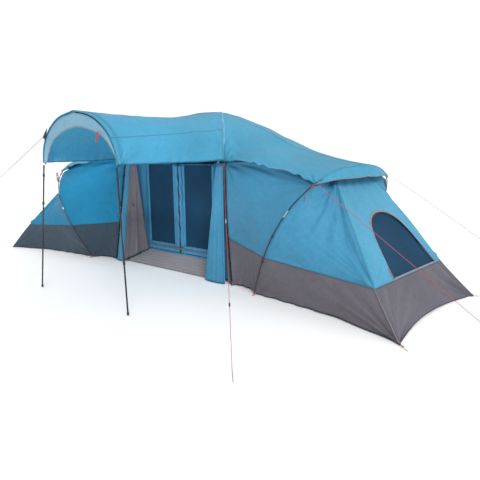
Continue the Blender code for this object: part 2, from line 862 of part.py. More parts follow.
def rolled_guy_hank():
    """The left front shoulder's rope, wound up and hung from its tab."""
    place = wing_to_world(-1, 2.215, -SHOULDER_B - 0.085, 1.190)
    outline = []
    for i in range(16):
        angle = 2 * math.pi * i / 16
        outline.append((0.020 * math.cos(angle), 0.075 * math.sin(angle) - 0.078))
    frame = Matrix.Translation(place) @ Matrix.Rotation(math.radians(90), 4, "X")
    plate("guy_hank_left", [outline], 0.024, frame, MATERIALS["rope"])


clear_scene()
PARTS = make_collection("tunnel_tent")
CUTTERS = make_collection("cutters")
SIDES = ((1, "right"), (-1, "left"))
MATERIALS = {
    "roof": make_material("roof_fabric", ROOF_BLUE, 0.55),
    "wall": make_material("wall_fabric", BLUE, 0.60),
    "skirt": make_material("skirt_fabric", GREY, 0.65),
    "mesh": make_material("insect_mesh", MESH_DARK, 0.80),
    "sill": make_material("groundsheet", PALE_GREY, 0.60),
    "inner": make_material("inner_fabric", PALE_GREY, 0.70),
    "pole": make_material("pole_black", BLACK, 0.35),
    "steel": make_material("steel", STEEL, 0.35, 1.0),
    "rope": make_material("rope_red", RED, 0.75),
    "black": make_material("runner_black", BLACK, 0.45),
}
hub_poles()
wing_arches()
canopy_frame()
pole_pins()
for wing_side, wing_name in SIDES:
    wing_roof(wing_side, wing_name)
    wing_side_wall(wing_side, wing_name, 1, "front")
    wing_side_wall(wing_side, wing_name, -1, "rear")
    wing_end(wing_side, wing_name)
canopy_roof()
rear_roof()
rear_hub_walls()
door_front()
door_curtains()
groundsheets()
bedroom_dividers()
guy_ropes()
rolled_guy_hank()
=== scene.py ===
"""Looks of a family tent with a standing hub, two sleeping wings and a front canopy. Metres, +Z up."""

import json
import math

import bmesh
import bpy
import numpy as np
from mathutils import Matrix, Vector

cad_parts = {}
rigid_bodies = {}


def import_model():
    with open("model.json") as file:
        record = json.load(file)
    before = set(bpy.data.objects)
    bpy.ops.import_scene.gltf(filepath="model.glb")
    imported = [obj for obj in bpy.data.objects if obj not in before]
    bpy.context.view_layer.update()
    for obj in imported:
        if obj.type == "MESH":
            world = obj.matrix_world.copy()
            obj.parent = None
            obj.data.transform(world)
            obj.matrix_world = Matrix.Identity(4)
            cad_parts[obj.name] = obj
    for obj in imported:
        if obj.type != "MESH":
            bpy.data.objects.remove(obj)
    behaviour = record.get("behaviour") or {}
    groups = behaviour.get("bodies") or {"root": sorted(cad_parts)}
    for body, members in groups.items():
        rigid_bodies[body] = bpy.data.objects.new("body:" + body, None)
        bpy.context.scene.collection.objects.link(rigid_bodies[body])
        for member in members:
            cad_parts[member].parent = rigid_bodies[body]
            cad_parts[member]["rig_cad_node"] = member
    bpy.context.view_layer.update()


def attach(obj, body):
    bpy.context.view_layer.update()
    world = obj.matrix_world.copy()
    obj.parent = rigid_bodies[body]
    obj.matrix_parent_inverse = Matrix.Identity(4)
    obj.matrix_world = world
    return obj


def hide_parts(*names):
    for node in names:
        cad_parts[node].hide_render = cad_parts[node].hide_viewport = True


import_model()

# Sizes shared with the CAD source. HUB_ points are x, y, z. A wing's own frame has a along the wing,
# b across it and z up, and its half outlines give b, z.
HUB_LEG = ((0.990, -1.130, 0.020), (0.949, -1.111, 0.300), (0.878, -1.075, 0.820), (0.805, -1.003, 1.360))
HUB_EAVE_Z = 1.360
HUB_BOW = (
    (0.610, -0.750, 1.700), (0.340, -0.420, 1.910), (0.000, 0.000, 1.985),
    (-0.340, 0.420, 1.840), (-0.610, 0.750, 1.645),
)
HUB_POLE_R = 0.008
ARCH_POLE_R = 0.0055
SEAM_GAP = 0.004
POLE_CLEARANCE = 0.016
CREST_CLEARANCE = 0.014
EAVE_CLEARANCE = 0.024
WING_TURN = math.radians(12.5)
WING_START_Y = -0.070
ARCH_FOOT_A = 1.585
ARCH_LEAN = 0.509
ARCH_HALF = (
    (0.850, 0.020), (0.920, 0.270), (0.965, 0.550), (0.955, 0.750), (0.900, 0.940),
    (0.800, 1.080), (0.660, 1.195), (0.360, 1.298), (0.000, 1.335),
)
SHOULDER_B = 0.660
SHOULDER_Z = 1.195
ARCH_INSET = 0.019
INNER_SCALE_Z = 0.986
END_A = 3.200
END_LEAN = 0.835
END_TOP_Z = 1.260
END_EDGE_FRONT = (
    (-0.834, 0.000), (-0.793, 0.170), (-0.737, 0.350), (-0.652, 0.540),
    (-0.553, 0.740), (-0.447, 0.970), (-0.310, 1.260),
)
END_EDGE_REAR = (
    (0.804, 0.000), (0.700, 0.170), (0.615, 0.350), (0.570, 0.540),
    (0.535, 0.740), (0.450, 0.970), (0.310, 1.260),
)
SEAM_HUB_Z = 0.530
SEAM_ARCH_Z = 0.460
SEAM_END_Z = 0.365
HEM_Z = 0.005
HEM_LIFT = 0.012
HUB_HEM_TUCK = 0.060
WING_HEM_TUCK = 0.080
END_HEM_TUCK = 0.110
REAR_HEM_TUCK = 0.040
WALL_TOP_Z = 1.352
EAVE_BULGE = 0.085
REAR_WALL_TOP_Z = 1.235
WINDOW_MIDDLE_B = 0.040
WINDOW_HALF = (
    (0.437, 0.376), (0.418, 0.450), (0.392, 0.530), (0.345, 0.670),
    (0.308, 0.740), (0.268, 0.795), (0.200, 0.848), (0.110, 0.882),
)
WINDOW_TOP_Z = 0.893
CANOPY_ARCH_HALF = ((0.578, 1.352), (0.548, 1.500), (0.450, 1.655), (0.255, 1.787), (0.000, 1.843))
CANOPY_EDGE_Y = -2.288
CANOPY_MIDDLE = (
    (0.000, -1.00, 1.872), (0.280, -1.16, 1.845), (0.520, -1.33, 1.740),
    (0.660, -1.47, 1.580), (0.705, -1.56, 1.372),
)
UPRIGHT_FOOT = (0.713, -2.376, 0.004)
UPRIGHT_TOP = (0.580, -2.292, 1.342)
UPRIGHT_R = 0.008
DOOR_Y = -0.875
DOOR_HALF_WIDTH = 0.565
DOOR_BOTTOM_Z = 0.178
DOOR_TOP_Z = 1.345
DOOR_GAP = 0.006
JAMB_X = 0.610
SILL_HALF_BOTTOM = 0.820
SILL_HALF_TOP = 0.580
SILL_FRONT_Y = -1.085
SILL_TOP_Z = 0.160
WING_ROOF_SECTIONS = (
    ((0.911, 0, 1.735), (0.940, 0.300, 1.665), (1.030, 0.570, 1.530), (1.150, 0.742, 1.372)),
    ((1.410, 0, 1.530), (1.410, 0.300, 1.490), (1.430, 0.570, 1.440), (1.450, 0.745, 1.360)),
    ((1.860, 0, 1.428), (1.860, 0.300, 1.398), (1.860, 0.550, 1.348), (1.860, 0.720, 1.300)),
    ((2.270, 0, 1.354), (2.252, 0.360, 1.318), (2.220, 0.550, 1.262), (2.195, 0.680, 1.205)),
)
# Where along the rear eave each roof section's edge comes, and how far the eave bows out
REAR_EAVE_SHARES = (0.20, 0.43, 0.72, 1.0)
REAR_EAVE_BOW = 0.020
LIP_U = 11 / 13
LIP_REACH = 0.070
LIP_EDGE_DROP = 0.018
LIP_DROP = 0.095
CURTAIN_FOOT_Y = -1.150
CURTAIN_LEAN = 0.110
CURTAIN_FLAT_GROWTH = 0.14
DIVIDER_X = 0.850
HUB_SHEET_HALF_X = 0.925
HUB_SHEET_REAR_Y = 1.060
ROPE_R = 0.0022
ROPE_END_Z = 0.012

# Sizes of the looks. Some follow a CAD size that is laid out in another way there, and three of the
# curtains' sizes differ slightly from the CAD's.
REAR_CORNER_RISE = 0.055
DOOR_HEAD_GAP = 0.016
ARCH_U = 6 / 14
REAR_ROOF_EDGE = (0.822, 1.042, 1.290)
REAR_ROOF_BOW = (0.045, 0.040)
DIVIDER_HALF = ((0.955, 0, 0.008), (0.870, 0, 1.280), (0.480, 0, 1.500), (0.0, 0, 1.640))
DOORWAY_HALF = ((0.42, 0, 0.10), (0.42, 0, 1.00), (0.30, 0, 1.24), (0.0, 0, 1.34))
GROUND_FRONT_Y = -1.055
GROUND_Z = 0.002
GROUND_WING = (0.932, 1.040, 2.98, 0.700)
CURTAIN_HEIGHT = 1.315
CURTAIN_FOOT_Z = 0.014
CURTAIN_FLAT_FOOT = 0.20
CLOTH = 0.0012
FOLD = 1.8
PULL = 1.6
NET_STILE = (0.095, 0.036)
DOOR_FOOT = 0.105
BAND_INNER = ((0.560, 1.380), (0.505, 1.480), (0.405, 1.590), (0.250, 1.662), (0.080, 1.703), (0.0, 1.712))
GABLE_HALF = 0.310
JAMB_BEND_U = 0.2
NET_LAP_SIDE = 0.010
NET_LAP_FOOT = 0.006
NET_LAP_TOP = 0.004
NET_TIP_HALF = 0.015
REAR_WALL_SETBACK = 0.006
SEAM_STEP = 0.001
DOOR_HEAD = 0.010
DOOR_FRAME_STEP = 0.0015
FOOT_TAPE_Z = 0.062
FOOT_TAPE_STEP = 0.011
LINING_CORNERS = (
    (-0.835, -1.150, 0.012), (-0.590, -0.890, 0.165),
    (-0.640, -0.990, 1.330), (-0.690, -1.040, 1.325),
)
LATHE_STEPS = 20
SOFT_EDGE = 0.0012
SEAM_LIFT = SEAM_GAP * 0.3
# The cloth that the window's opening takes out of an end wall, in square metres
WINDOW_AREA = 0.40 * 0.73 * 1.35
IN_FRONT = (0, -4, 0.6)
CLIP_WALLS = (0.0004, 0.0042)
FERRULE_WALLS = (0.0003, 0.0012)
STRAP_WALLS = (0.0003, 0.0030)
UP = Vector((0, 0, 1))
SIDES = ((1, "right"), (-1, "left"))
ENDS = ((1, "front"), (-1, "rear"))


# The camera


def add_camera():
    data = bpy.data.cameras.new("camera")
    data.lens = 30.675
    camera = bpy.data.objects.new("camera", data)
    camera.location = (3.5781, -4.7093, 1.4937)
    camera.rotation_euler = (math.radians(90 - 12.377), 0, math.radians(34.570))
    bpy.context.scene.collection.objects.link(camera)
    bpy.context.scene.camera = camera


add_camera()


# Lines of the tent


def cubic(grid, where):
    """The grid's rows read at the places given, on smooth curves through them."""
    i = np.clip(where.astype(int), 0, len(grid) - 2)
    t = (where - i)[:, None, None]
    p = np.concatenate([2 * grid[:1] - grid[1:2], grid, 2 * grid[-1:] - grid[-2:-1]])
    a, b, c, d = p[i], p[i + 1], p[i + 2], p[i + 3]
    curve = (2 * a - 5 * b + 4 * c - d) * t**2 + (3 * b - a - 3 * c + d) * t**3
    return 0.5 * (2 * b + (c - a) * t + curve)


def smooth_points(points, count):
    """count points, evenly spread, on a smooth curve through the given ones."""
    p = np.array([tuple(point) for point in points], float)[:, None, :]
    fine = cubic(p, np.linspace(0, len(p) - 1, 24 * (len(p) - 1) + 1))[:, 0]
    run = np.concatenate([[0.0], np.cumsum(np.linalg.norm(np.diff(fine, axis=0), axis=1))])
    where = np.linspace(0.0, run[-1], count)
    return np.column_stack([np.interp(where, run, column) for column in fine.T])


def read(fine, t):
    """The place at a share t of the way along evenly spread points."""
    steps = np.linspace(0, 1, len(fine))
    return Vector([float(np.interp(t, steps, column)) for column in fine.T])


def through(stations, t):
    return read(smooth_points(stations, 33), t)


def by_height(points):
    fine = smooth_points(points, 65)

    def place(z):
        return Vector([float(np.interp(z, fine[:, 2], fine[:, k])) for k in range(2)] + [z])

    return place


def wing_to_world(side, a, b, z):
    x = a * math.cos(WING_TURN) + b * math.sin(WING_TURN)
    y = WING_START_Y - a * math.sin(WING_TURN) + b * math.cos(WING_TURN)
    return Vector((side * x, y, z))


def wing_way(side, a, b, z):
    """A direction in the wing's own frame."""
    return wing_to_world(side, a, b, z) - wing_to_world(side, 0, 0, 0)


def hub_pole_half(side, front):
    """The cloth's line over a hub pole, from the hub's top down to the eave."""
    rear_leg = tuple((-x, -y, z) for x, y, z in HUB_LEG[::-1])
    whole = smooth_points([(side * front * x, y, z) for x, y, z in HUB_LEG + HUB_BOW + rear_leg], 401)
    fine = np.array([p for p in whole if p[2] >= HUB_EAVE_Z and -front * p[1] >= 0.0])
    if front > 0:
        fine = fine[::-1]

    def place(t):
        along = read(fine, min(t + 0.05, 1.0)) - read(fine, max(t - 0.05, 0.0))
        outward = along.cross(UP.cross(along)).normalized()
        return read(fine, t) + outward * (CREST_CLEARANCE + (EAVE_CLEARANCE - CREST_CLEARANCE) * t)

    return place


def hub_line(side, front, inset):
    """The wall's line just inside a hub pole."""
    return by_height([(side * (x + inset), front * (y + POLE_CLEARANCE), z) for x, y, z in HUB_LEG])


def hub_leg(side, front):
    return by_height([(side * x, front * y, z) for x, y, z in HUB_LEG])


def arch_leg(side, front, inset=0.0, scale=1.0):
    """A wing arch's line by height, up to its shoulder."""
    points = []
    for b, z in ARCH_HALF:
        if z <= SHOULDER_Z:
            points.append(wing_to_world(side, ARCH_FOOT_A + ARCH_LEAN * z, -front * (b - inset), z * scale))
    return by_height(points)


END_EDGES = {1: smooth_points(END_EDGE_FRONT, 65), -1: smooth_points(END_EDGE_REAR, 65)}


def end_edge_b(front, z):
    edge = END_EDGES[front]
    return float(np.interp(z, edge[:, 1], edge[:, 0]))


def end_line(side, front):
    return lambda z: wing_to_world(side, END_A - END_LEAN * z, end_edge_b(front, z), z)


def mirrored_half(u):
    """For a half outline that is mirrored: its share along the half, and its sign in x."""
    return 1 - abs(2 * u - 1), 1 if u > 0.5 else -1


ROPE_TOP_B = SHOULDER_B + 0.050
ROUTES = {
    "canopy_left": ((-0.520, -2.310, 1.620), (-2.700, -3.077, ROPE_END_Z)),
    "hub_right": ((0.835, -1.045, 1.350), (2.057, -2.600, ROPE_END_Z)),
    "wing_front": (wing_to_world(1, 2.262, -ROPE_TOP_B, 1.185), wing_to_world(1, 4.234, -0.750, ROPE_END_Z)),
    "wing_rear": (wing_to_world(1, 2.262, ROPE_TOP_B, 1.185), wing_to_world(1, 4.234, 0.780, ROPE_END_Z)),
}


# Materials


def new_material(name, roughness, metallic=0.0):
    material = bpy.data.materials.new(name)
    material.use_nodes = True
    shader = material.node_tree.nodes["Principled BSDF"]
    shader.inputs["Roughness"].default_value = roughness
    shader.inputs["Metallic"].default_value = metallic
    return material, material.node_tree, shader


def feed(tree, socket, value):
    """Set a socket to a number or colour, or link it to another socket."""
    if isinstance(value, (int, float, tuple)):
        socket.default_value = value
    else:
        tree.links.new(value, socket)


def maths(tree, operation, *values):
    made = tree.nodes.new("ShaderNodeMath")
    made.operation = operation
    for socket, value in zip(made.inputs, values):
        feed(tree, socket, value)
    return made.outputs[0]


def mixed(tree, share, first, second, blend="MIX"):
    made = tree.nodes.new("ShaderNodeMix")
    made.data_type = "RGBA"
    made.blend_type = blend
    for socket, value in ((0, share), (6, first), (7, second)):
        feed(tree, made.inputs[socket], value)
    return made.outputs[2]


def ranged(tree, value, low, high):
    """value stretched so that low gives 0 and high gives 1."""
    made = tree.nodes.new("ShaderNodeMapRange")
    made.inputs["From Min"].default_value = low
    made.inputs["From Max"].default_value = high
    tree.links.new(value, made.inputs["Value"])
    return made.outputs["Result"]


def parts_of(tree, vector):
    made = tree.nodes.new("ShaderNodeSeparateXYZ")
    tree.links.new(vector, made.inputs[0])
    return made.outputs


def uv_parts(tree, layer):
    made = tree.nodes.new("ShaderNodeUVMap")
    made.uv_map = layer
    return parts_of(tree, made.outputs[0])


def object_place(tree):
    return tree.nodes.new("ShaderNodeTexCoord").outputs["Object"]


def noise(tree, scale, detail, distortion=0.0):
    made = tree.nodes.new("ShaderNodeTexNoise")
    for name, value in (("Scale", scale), ("Detail", detail), ("Distortion", distortion)):
        made.inputs[name].default_value = value
    tree.links.new(object_place(tree), made.inputs["Vector"])
    return made.outputs["Fac"]


def sine(tree, value, factor):
    return maths(tree, "SINE", maths(tree, "MULTIPLY", value, factor))


def add_bump(tree, shader, height, strength, distance):
    made = tree.nodes.new("ShaderNodeBump")
    made.inputs["Strength"].default_value = strength
    made.inputs["Distance"].default_value = distance
    tree.links.new(height, made.inputs["Height"])
    tree.links.new(made.outputs[0], shader.inputs["Normal"])
    return made.outputs[0]


def toned(colour, factor, lift=0.0):
    return tuple(min(1.0, c * factor + lift) for c in colour) + (1.0,)


def let_light_through(tree, shader, shade, normal, share):
    through_cloth = tree.nodes.new("ShaderNodeBsdfTranslucent")
    tree.links.new(shade, through_cloth.inputs["Color"])
    tree.links.new(normal, through_cloth.inputs["Normal"])
    both = tree.nodes.new("ShaderNodeMixShader")
    both.inputs[0].default_value = share
    tree.links.new(shader.outputs[0], both.inputs[1])
    tree.links.new(through_cloth.outputs[0], both.inputs[2])
    tree.links.new(both.outputs[0], tree.nodes["Material Output"].inputs["Surface"])


def fabric(name, colour, variation, light_through, stripes=None, rough=0.62):
    """Coated woven cloth: thread grid, double-folded stitched hems, soft creases and light
    coming through. The UV map is in metres and the edge map holds distances from the hems."""
    material, tree, shader = new_material(name, rough)
    broad = ranged(tree, noise(tree, 1.3, 3.0), 0.35, 0.65)
    shade = mixed(tree, broad, toned(colour, 1 - variation), toned(colour, 1 + variation))
    speck = ranged(tree, noise(tree, 26.0, 6.0), 0.30, 0.72)
    shade = mixed(tree, 0.10, shade, speck, "SOFT_LIGHT")
    uv = uv_parts(tree, "cloth")
    thread_rate = 2 * math.pi / 0.0030
    weave = maths(tree, "MULTIPLY", sine(tree, uv[0], thread_rate), sine(tree, uv[1], thread_rate))
    edges = uv_parts(tree, "edge")
    nearest = maths(tree, "MINIMUM", edges[0], edges[1])
    dashes = [maths(tree, "GREATER_THAN", sine(tree, uv[axis], 900.0), -0.3) for axis in (0, 1)]
    on_line = maths(tree, "COMPARE", nearest, 0.012, 0.0010)
    stitch = maths(tree, "MULTIPLY", on_line, maths(tree, "MULTIPLY", *dashes))
    hem = maths(tree, "MULTIPLY", maths(tree, "LESS_THAN", nearest, 0.016), 0.22)
    shade = mixed(tree, hem, shade, toned(colour, 0.45))
    shade = mixed(tree, maths(tree, "MULTIPLY", stitch, 0.5), shade, toned(colour, 0.25))
    if stripes:
        width, other = stripes
        shade = mixed(
            tree, ranged(tree, sine(tree, uv[1], 2 * math.pi / width), -0.25, 0.25), shade, other + (1.0,),
        )
    tree.links.new(shade, shader.inputs["Base Color"])
    height = maths(tree, "MULTIPLY", noise(tree, 9.0, 5.0, 0.7), 0.0055)
    height = maths(tree, "ADD", height, maths(tree, "MULTIPLY", weave, 0.00006))
    height = maths(tree, "ADD", height, maths(tree, "MULTIPLY", stitch, 0.0005))
    normal = add_bump(tree, shader, height, 0.55, 1.0)
    shader.inputs["Sheen Weight"].default_value = 0.12
    shader.inputs["Sheen Roughness"].default_value = 0.5
    shader.inputs["Specular IOR Level"].default_value = 0.28
    gloss = maths(tree, "ADD", maths(tree, "MULTIPLY", speck, 0.12), rough - 0.06)
    tree.links.new(gloss, shader.inputs["Roughness"])
    if light_through:
        let_light_through(tree, shader, shade, normal, light_through)
    return material


def insect_mesh(name, colour):
    material, tree, shader = new_material(name, 0.75)
    uv = uv_parts(tree, "cloth")
    net = maths(tree, "MAXIMUM", *[sine(tree, uv[axis], 2 * math.pi / 0.0024) for axis in (0, 1)])
    cloud = ranged(tree, noise(tree, 3.0, 3.0), 0.3, 0.7)
    base = mixed(tree, cloud, toned(colour, 0.75), toned(colour, 1.3))
    shade = mixed(tree, ranged(tree, net, 0.55, 0.95), base, toned(colour, 1.6))
    tree.links.new(shade, shader.inputs["Base Color"])
    add_bump(tree, shader, net, 0.4, 0.0006)
    shader.inputs["Specular IOR Level"].default_value = 0.1
    return material


def hard(name, colour, roughness, metallic=0.0, wear=0.25, scale=90.0):
    """Moulded or drawn stock with fine scuffs."""
    material, tree, shader = new_material(name, roughness, metallic)
    scuff = noise(tree, scale, 8.0)
    marks = ranged(tree, scuff, 0.48, 0.75)
    shade = mixed(tree, maths(tree, "MULTIPLY", marks, wear), colour + (1.0,), toned(colour, 1.6, 0.03))
    tree.links.new(shade, shader.inputs["Base Color"])
    rough = maths(tree, "ADD", maths(tree, "MULTIPLY", marks, 0.25), roughness)
    tree.links.new(rough, shader.inputs["Roughness"])
    add_bump(tree, shader, scuff, 0.25, 0.0004)
    return material


def webbing(name, colour, pitch=0.0022):
    """Tape or cord with slanting yarns."""
    material, tree, shader = new_material(name, 0.72)
    place = parts_of(tree, object_place(tree))
    across = maths(tree, "ADD", place[0], place[1])
    slants = []
    for sign in (1.0, -1.0):
        slants.append(sine(tree, maths(tree, "MULTIPLY_ADD", place[2], sign, across), 2 * math.pi / pitch))
    yarn = maths(tree, "MULTIPLY", *slants)
    shade = mixed(tree, ranged(tree, yarn, -0.6, 0.8), toned(colour, 0.65), toned(colour, 1.2))
    tree.links.new(shade, shader.inputs["Base Color"])
    add_bump(tree, shader, yarn, 0.5, 0.0005)
    return material


MATERIALS = {
    "roof": fabric("roof_cloth", (0.088, 0.428, 0.625), 0.06, 0.42),
    "wall": fabric("wall_cloth", (0.058, 0.292, 0.478), 0.06, 0.25),
    "end": fabric("end_cloth", (0.080, 0.360, 0.545), 0.07, 0.25),
    "skirt": fabric("skirt_cloth", (0.116, 0.108, 0.128), 0.09, 0.05, rough=0.7),
    # A darker, bluer copy of the skirt cloth: painted shade for the left wing's front skirt, which lies in
    # the canopy's shade.
    "painted_shade_skirt": fabric("shaded_skirt_cloth", (0.034, 0.061, 0.090), 0.09, 0.05, rough=0.7),
    # A darker, more saturated copy of the wall cloth: painted shade for the left wing's front wall, which
    # lies in the canopy's shade.
    "painted_shade_wall": fabric("shaded_wall_cloth", (0.010, 0.256, 0.470), 0.10, 0.25),
    "end_skirt": fabric("end_skirt_cloth", (0.095, 0.091, 0.115), 0.09, 0.05, rough=0.7),
    "band": fabric("pale_band_cloth", (0.34, 0.60, 0.74), 0.10, 0.45),
    "sleeve": fabric("sleeve_cloth", (0.20, 0.52, 0.74), 0.10, 0.2),
    "sill": fabric("sill_cloth", (0.265, 0.252, 0.272), 0.06, 0.0, (0.055, (0.215, 0.206, 0.226))),
    "floor": fabric("floor_cloth", (0.20, 0.20, 0.22), 0.10, 0.0),
    "inner": fabric("inner_cloth", (0.46, 0.45, 0.47), 0.08, 0.3),
    "lining": fabric("lining_cloth", (0.155, 0.142, 0.162), 0.08, 0.1),
    "frame": fabric("door_frame_cloth", (0.060, 0.300, 0.520), 0.10, 0.2),
    "seam": webbing("seam_thread", (0.050, 0.230, 0.380)),
    "tape": webbing("grey_tape", (0.24, 0.21, 0.24)),
    "dark": webbing("dark_tape", (0.020, 0.035, 0.055)),
    "navy": webbing("blue_hem_tape", (0.030, 0.130, 0.240)),
    "mesh": insect_mesh("insect_net", (0.007, 0.034, 0.070)),
    "red": webbing("red_cord", (0.44, 0.075, 0.085)),
    "red_tape": webbing("red_tape", (0.44, 0.070, 0.085), 0.003),
    "grey_rope": webbing("grey_cord", (0.19, 0.19, 0.21)),
    "white": webbing("white_cord", (0.70, 0.66, 0.66)),
    "pole": hard("glass_fibre_pole", (0.010, 0.011, 0.013), 0.30, 0.0, 0.3),
    "clip": hard("moulded_clip", (0.014, 0.014, 0.016), 0.42),
    "white_clip": hard("white_moulded_clip", (0.62, 0.62, 0.62), 0.42),
    "steel": hard("plated_steel", (0.52, 0.53, 0.55), 0.28, 1.0),
    "zip": hard("zip_teeth", (0.010, 0.011, 0.014), 0.40, 0.0, 0.4, 300.0),
}


# Surfaces and their folds


class Surface:
    """A sheet as a grid of points, with u along its rows and v up its columns, both 0 to 1."""

    def __init__(self, points):
        self.points = points
        rows, columns = points.shape[:2]
        self.u, self.v = np.meshgrid(np.linspace(0, 1, columns), np.linspace(0, 1, rows))
        self.measure()

    def measure(self):
        normals = np.cross(np.gradient(self.points, axis=1), np.gradient(self.points, axis=0))
        size = np.linalg.norm(normals, axis=2, keepdims=True)
        self.normals = normals / np.maximum(size, 1e-12)
        self.area = float(size[:-1, :-1].sum())
        self.width = float(np.linalg.norm(np.diff(self.points, axis=1), axis=2).sum(axis=1).max())
        self.height = float(np.linalg.norm(np.diff(self.points, axis=0), axis=2).sum(axis=0).max())

    def outward(self, towards):
        """Turn the normals to point to a place outside the cloth."""
        reach = np.array(towards) - self.points.mean(axis=(0, 1))
        if (self.normals.mean(axis=(0, 1)) * reach).sum() < 0:
            self.normals = -self.normals

    def push(self, heights):
        self.points = self.points + self.normals * (FOLD * heights)[:, :, None]
        kept = self.normals
        self.measure()
        if (kept * self.normals).sum() < 0:
            self.normals = -self.normals

    def at(self, u, v, lift=0.0):
        """The place and normal at u, v."""
        rows, columns = self.points.shape[:2]
        x, y = u * (columns - 1), v * (rows - 1)
        i, j = min(int(x), columns - 2), min(int(y), rows - 2)
        fx, fy = x - i, y - j

        def pick(grid):
            low = grid[j, i] * (1 - fx) + grid[j, i + 1] * fx
            high = grid[j + 1, i] * (1 - fx) + grid[j + 1, i + 1] * fx
            return Vector(low * (1 - fy) + high * fy)

        normal = pick(self.normals).normalized()
        return pick(self.points) + normal * lift, normal

    def from_corner(self, u0, v0):
        """How far each point lies from the one at u0, v0, along each direction."""
        return (self.u - u0) * self.width, (self.v - v0) * self.height


def surface(place, coarse, fine, towards=None):
    """A surface from place(u, v), worked out at coarse steps and read smoothly at fine ones."""
    rows = []
    for v in np.linspace(0, 1, coarse[1]):
        rows.append([tuple(place(u, v)) for u in np.linspace(0, 1, coarse[0])])
    grid = cubic(np.array(rows, float), np.linspace(0, coarse[1] - 1, fine[1]))
    grid = cubic(grid.transpose(1, 0, 2), np.linspace(0, coarse[0] - 1, fine[0]))
    made = Surface(grid.transpose(1, 0, 2))
    if towards is not None:
        made.outward(towards)
    return made


def panel_surface(corners, fine, towards):
    """A four-cornered panel: corners are low left, low right, high right, high left."""
    a, b, c, d = [Vector(p) for p in corners]
    return surface(lambda u, v: a.lerp(b, u).lerp(d.lerp(c, u), v), (5, 5), fine, towards)


def ripples(s, first_seed, *rows):
    """Soft random swells: each row gives height and cells along u and v."""
    total = np.zeros_like(s.u)
    for k, (height, cells_u, cells_v) in enumerate(rows):
        rng = np.random.default_rng(first_seed + k)
        lattice = rng.uniform(-1, 1, (cells_v + 2, cells_u + 2))
        x, y = s.u * cells_u, s.v * cells_v
        i, j = x.astype(int), y.astype(int)
        fx, fy = x - i, y - j
        fx, fy = fx * fx * (3 - 2 * fx), fy * fy * (3 - 2 * fy)
        low = lattice[j, i] * (1 - fx) + lattice[j, i + 1] * fx
        high = lattice[j + 1, i] * (1 - fx) + lattice[j + 1, i + 1] * fx
        total += height * (low * (1 - fy) + high * fy)
    return total


def fans(s, *rows):
    """Folds that fan out of a point: each row gives u, v, spokes, reach and height."""
    total = np.zeros_like(s.u)
    for u0, v0, spokes, reach, height in rows:
        x, y = s.from_corner(u0, v0)
        far = np.hypot(x, y)
        angle = np.arctan2(y, x)
        wave = np.cos(spokes * angle + 0.8 * np.sin(2.3 * angle))
        total += height * wave * np.exp(-far / reach) * far / (far + 0.12)
    return total


def pulls(s, first_seed, *rows):
    """Sharp creases that run out of a point under tension. Each row gives u, v, the first and last
    angle in degrees, count, reach and height."""
    total = np.zeros_like(s.u)
    for row, (u0, v0, low, high, count, reach, height) in enumerate(rows):
        rng = np.random.default_rng(first_seed + row)
        x, y = s.from_corner(u0, v0)
        for k in range(count):
            angle = math.radians(low + (high - low) * (k + 0.5 + rng.uniform(-0.35, 0.35)) / count)
            along = x * math.cos(angle) + y * math.sin(angle)
            off = y * math.cos(angle) - x * math.sin(angle)
            length = reach * rng.uniform(0.45, 1.0)
            wide = 0.010 + 0.034 * np.clip(along / length, 0, 1)
            shape = np.exp(-np.abs(off) / wide) * np.clip(along / 0.04, 0, 1)
            shape = shape * np.clip(1 - along / length, 0, 1) ** 0.7
            total += PULL * rng.uniform(0.5, 1.0) * rng.choice([-1.0, 1.0]) * height * shape
    return total


def rim(s, low_u=0.0, high_u=0.0, low_v=0.0, high_v=0.0):
    """1 on the panel, falling to 0 at the edges that are held, over the widths given."""
    held = np.ones_like(s.u)
    for width, far in (
        (low_u, s.u * s.width), (high_u, (1 - s.u) * s.width),
        (low_v, s.v * s.height), (high_v, (1 - s.v) * s.height),
    ):
        if width:
            held = held * np.clip(far / width, 0, 1)
    return held


# Making pieces

SHEETS = {}
SLOTS = {}


def add_object(name, data, look, slot, body="tent", parent=None):
    """A piece with its look. On a parent sheet it joins that sheet's pieces, and takes its slot."""
    obj = bpy.data.objects.new(name, data)
    bpy.context.scene.collection.objects.link(obj)
    data.materials.append(MATERIALS[look])
    SLOTS[name] = slot or SLOTS[parent.name]
    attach(obj, body)
    if parent is not None:
        SHEETS[parent.name][1]["with_pieces"].append(obj)
    return obj


def mesh_from_surface(name, s, closed=False):
    rows, columns = s.points.shape[:2]
    mesh = bpy.data.meshes.new(name)
    faces = []
    for j in range(rows - 1):
        for i in range(columns - 1):
            k = j * columns + i
            faces.append((k, k + 1, k + columns + 1, k + columns))
    mesh.from_pydata(s.points.reshape(-1, 3).tolist(), [], faces)
    far_u = np.ones_like(s.u) if closed else np.minimum(s.u, 1 - s.u) * s.width
    far_v = np.minimum(s.v, 1 - s.v) * s.height
    corners = np.empty(len(mesh.loops), dtype=np.int32)
    mesh.loops.foreach_get("vertex_index", corners)
    for layer, x, y in (("cloth", s.u * s.width, s.v * s.height), ("edge", far_u, far_v)):
        uv = mesh.uv_layers.new(name=layer)
        pairs = np.column_stack([x.ravel()[corners], y.ravel()[corners]])
        uv.data.foreach_set("uv", pairs.ravel().astype(np.float32))
    mesh.shade_smooth()
    return mesh


def thicken(obj, thickness):
    solid = obj.modifiers.new("cloth", "SOLIDIFY")
    solid.thickness = thickness
    solid.offset = 0.0


def cloth(name, s, look, slot, stands_for=(), rests_on=(), held="stretched", body="tent", closed=False):
    obj = add_object(name, mesh_from_surface(name, s, closed), look, slot, body)
    thicken(obj, CLOTH)
    for cad_name in stands_for:
        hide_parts(cad_name)
    area = min(s.area, 0.999 * s.width * s.height)
    facts = {"flat": (s.width, s.height), "held": held, "rests_on": list(rests_on), "area": area}
    SHEETS[name] = (obj, facts | {"with_pieces": []})
    return obj


def steps_ahead(centres, i):
    return centres[min(i + 1, len(centres) - 1)] - centres[max(i - 1, 0)]


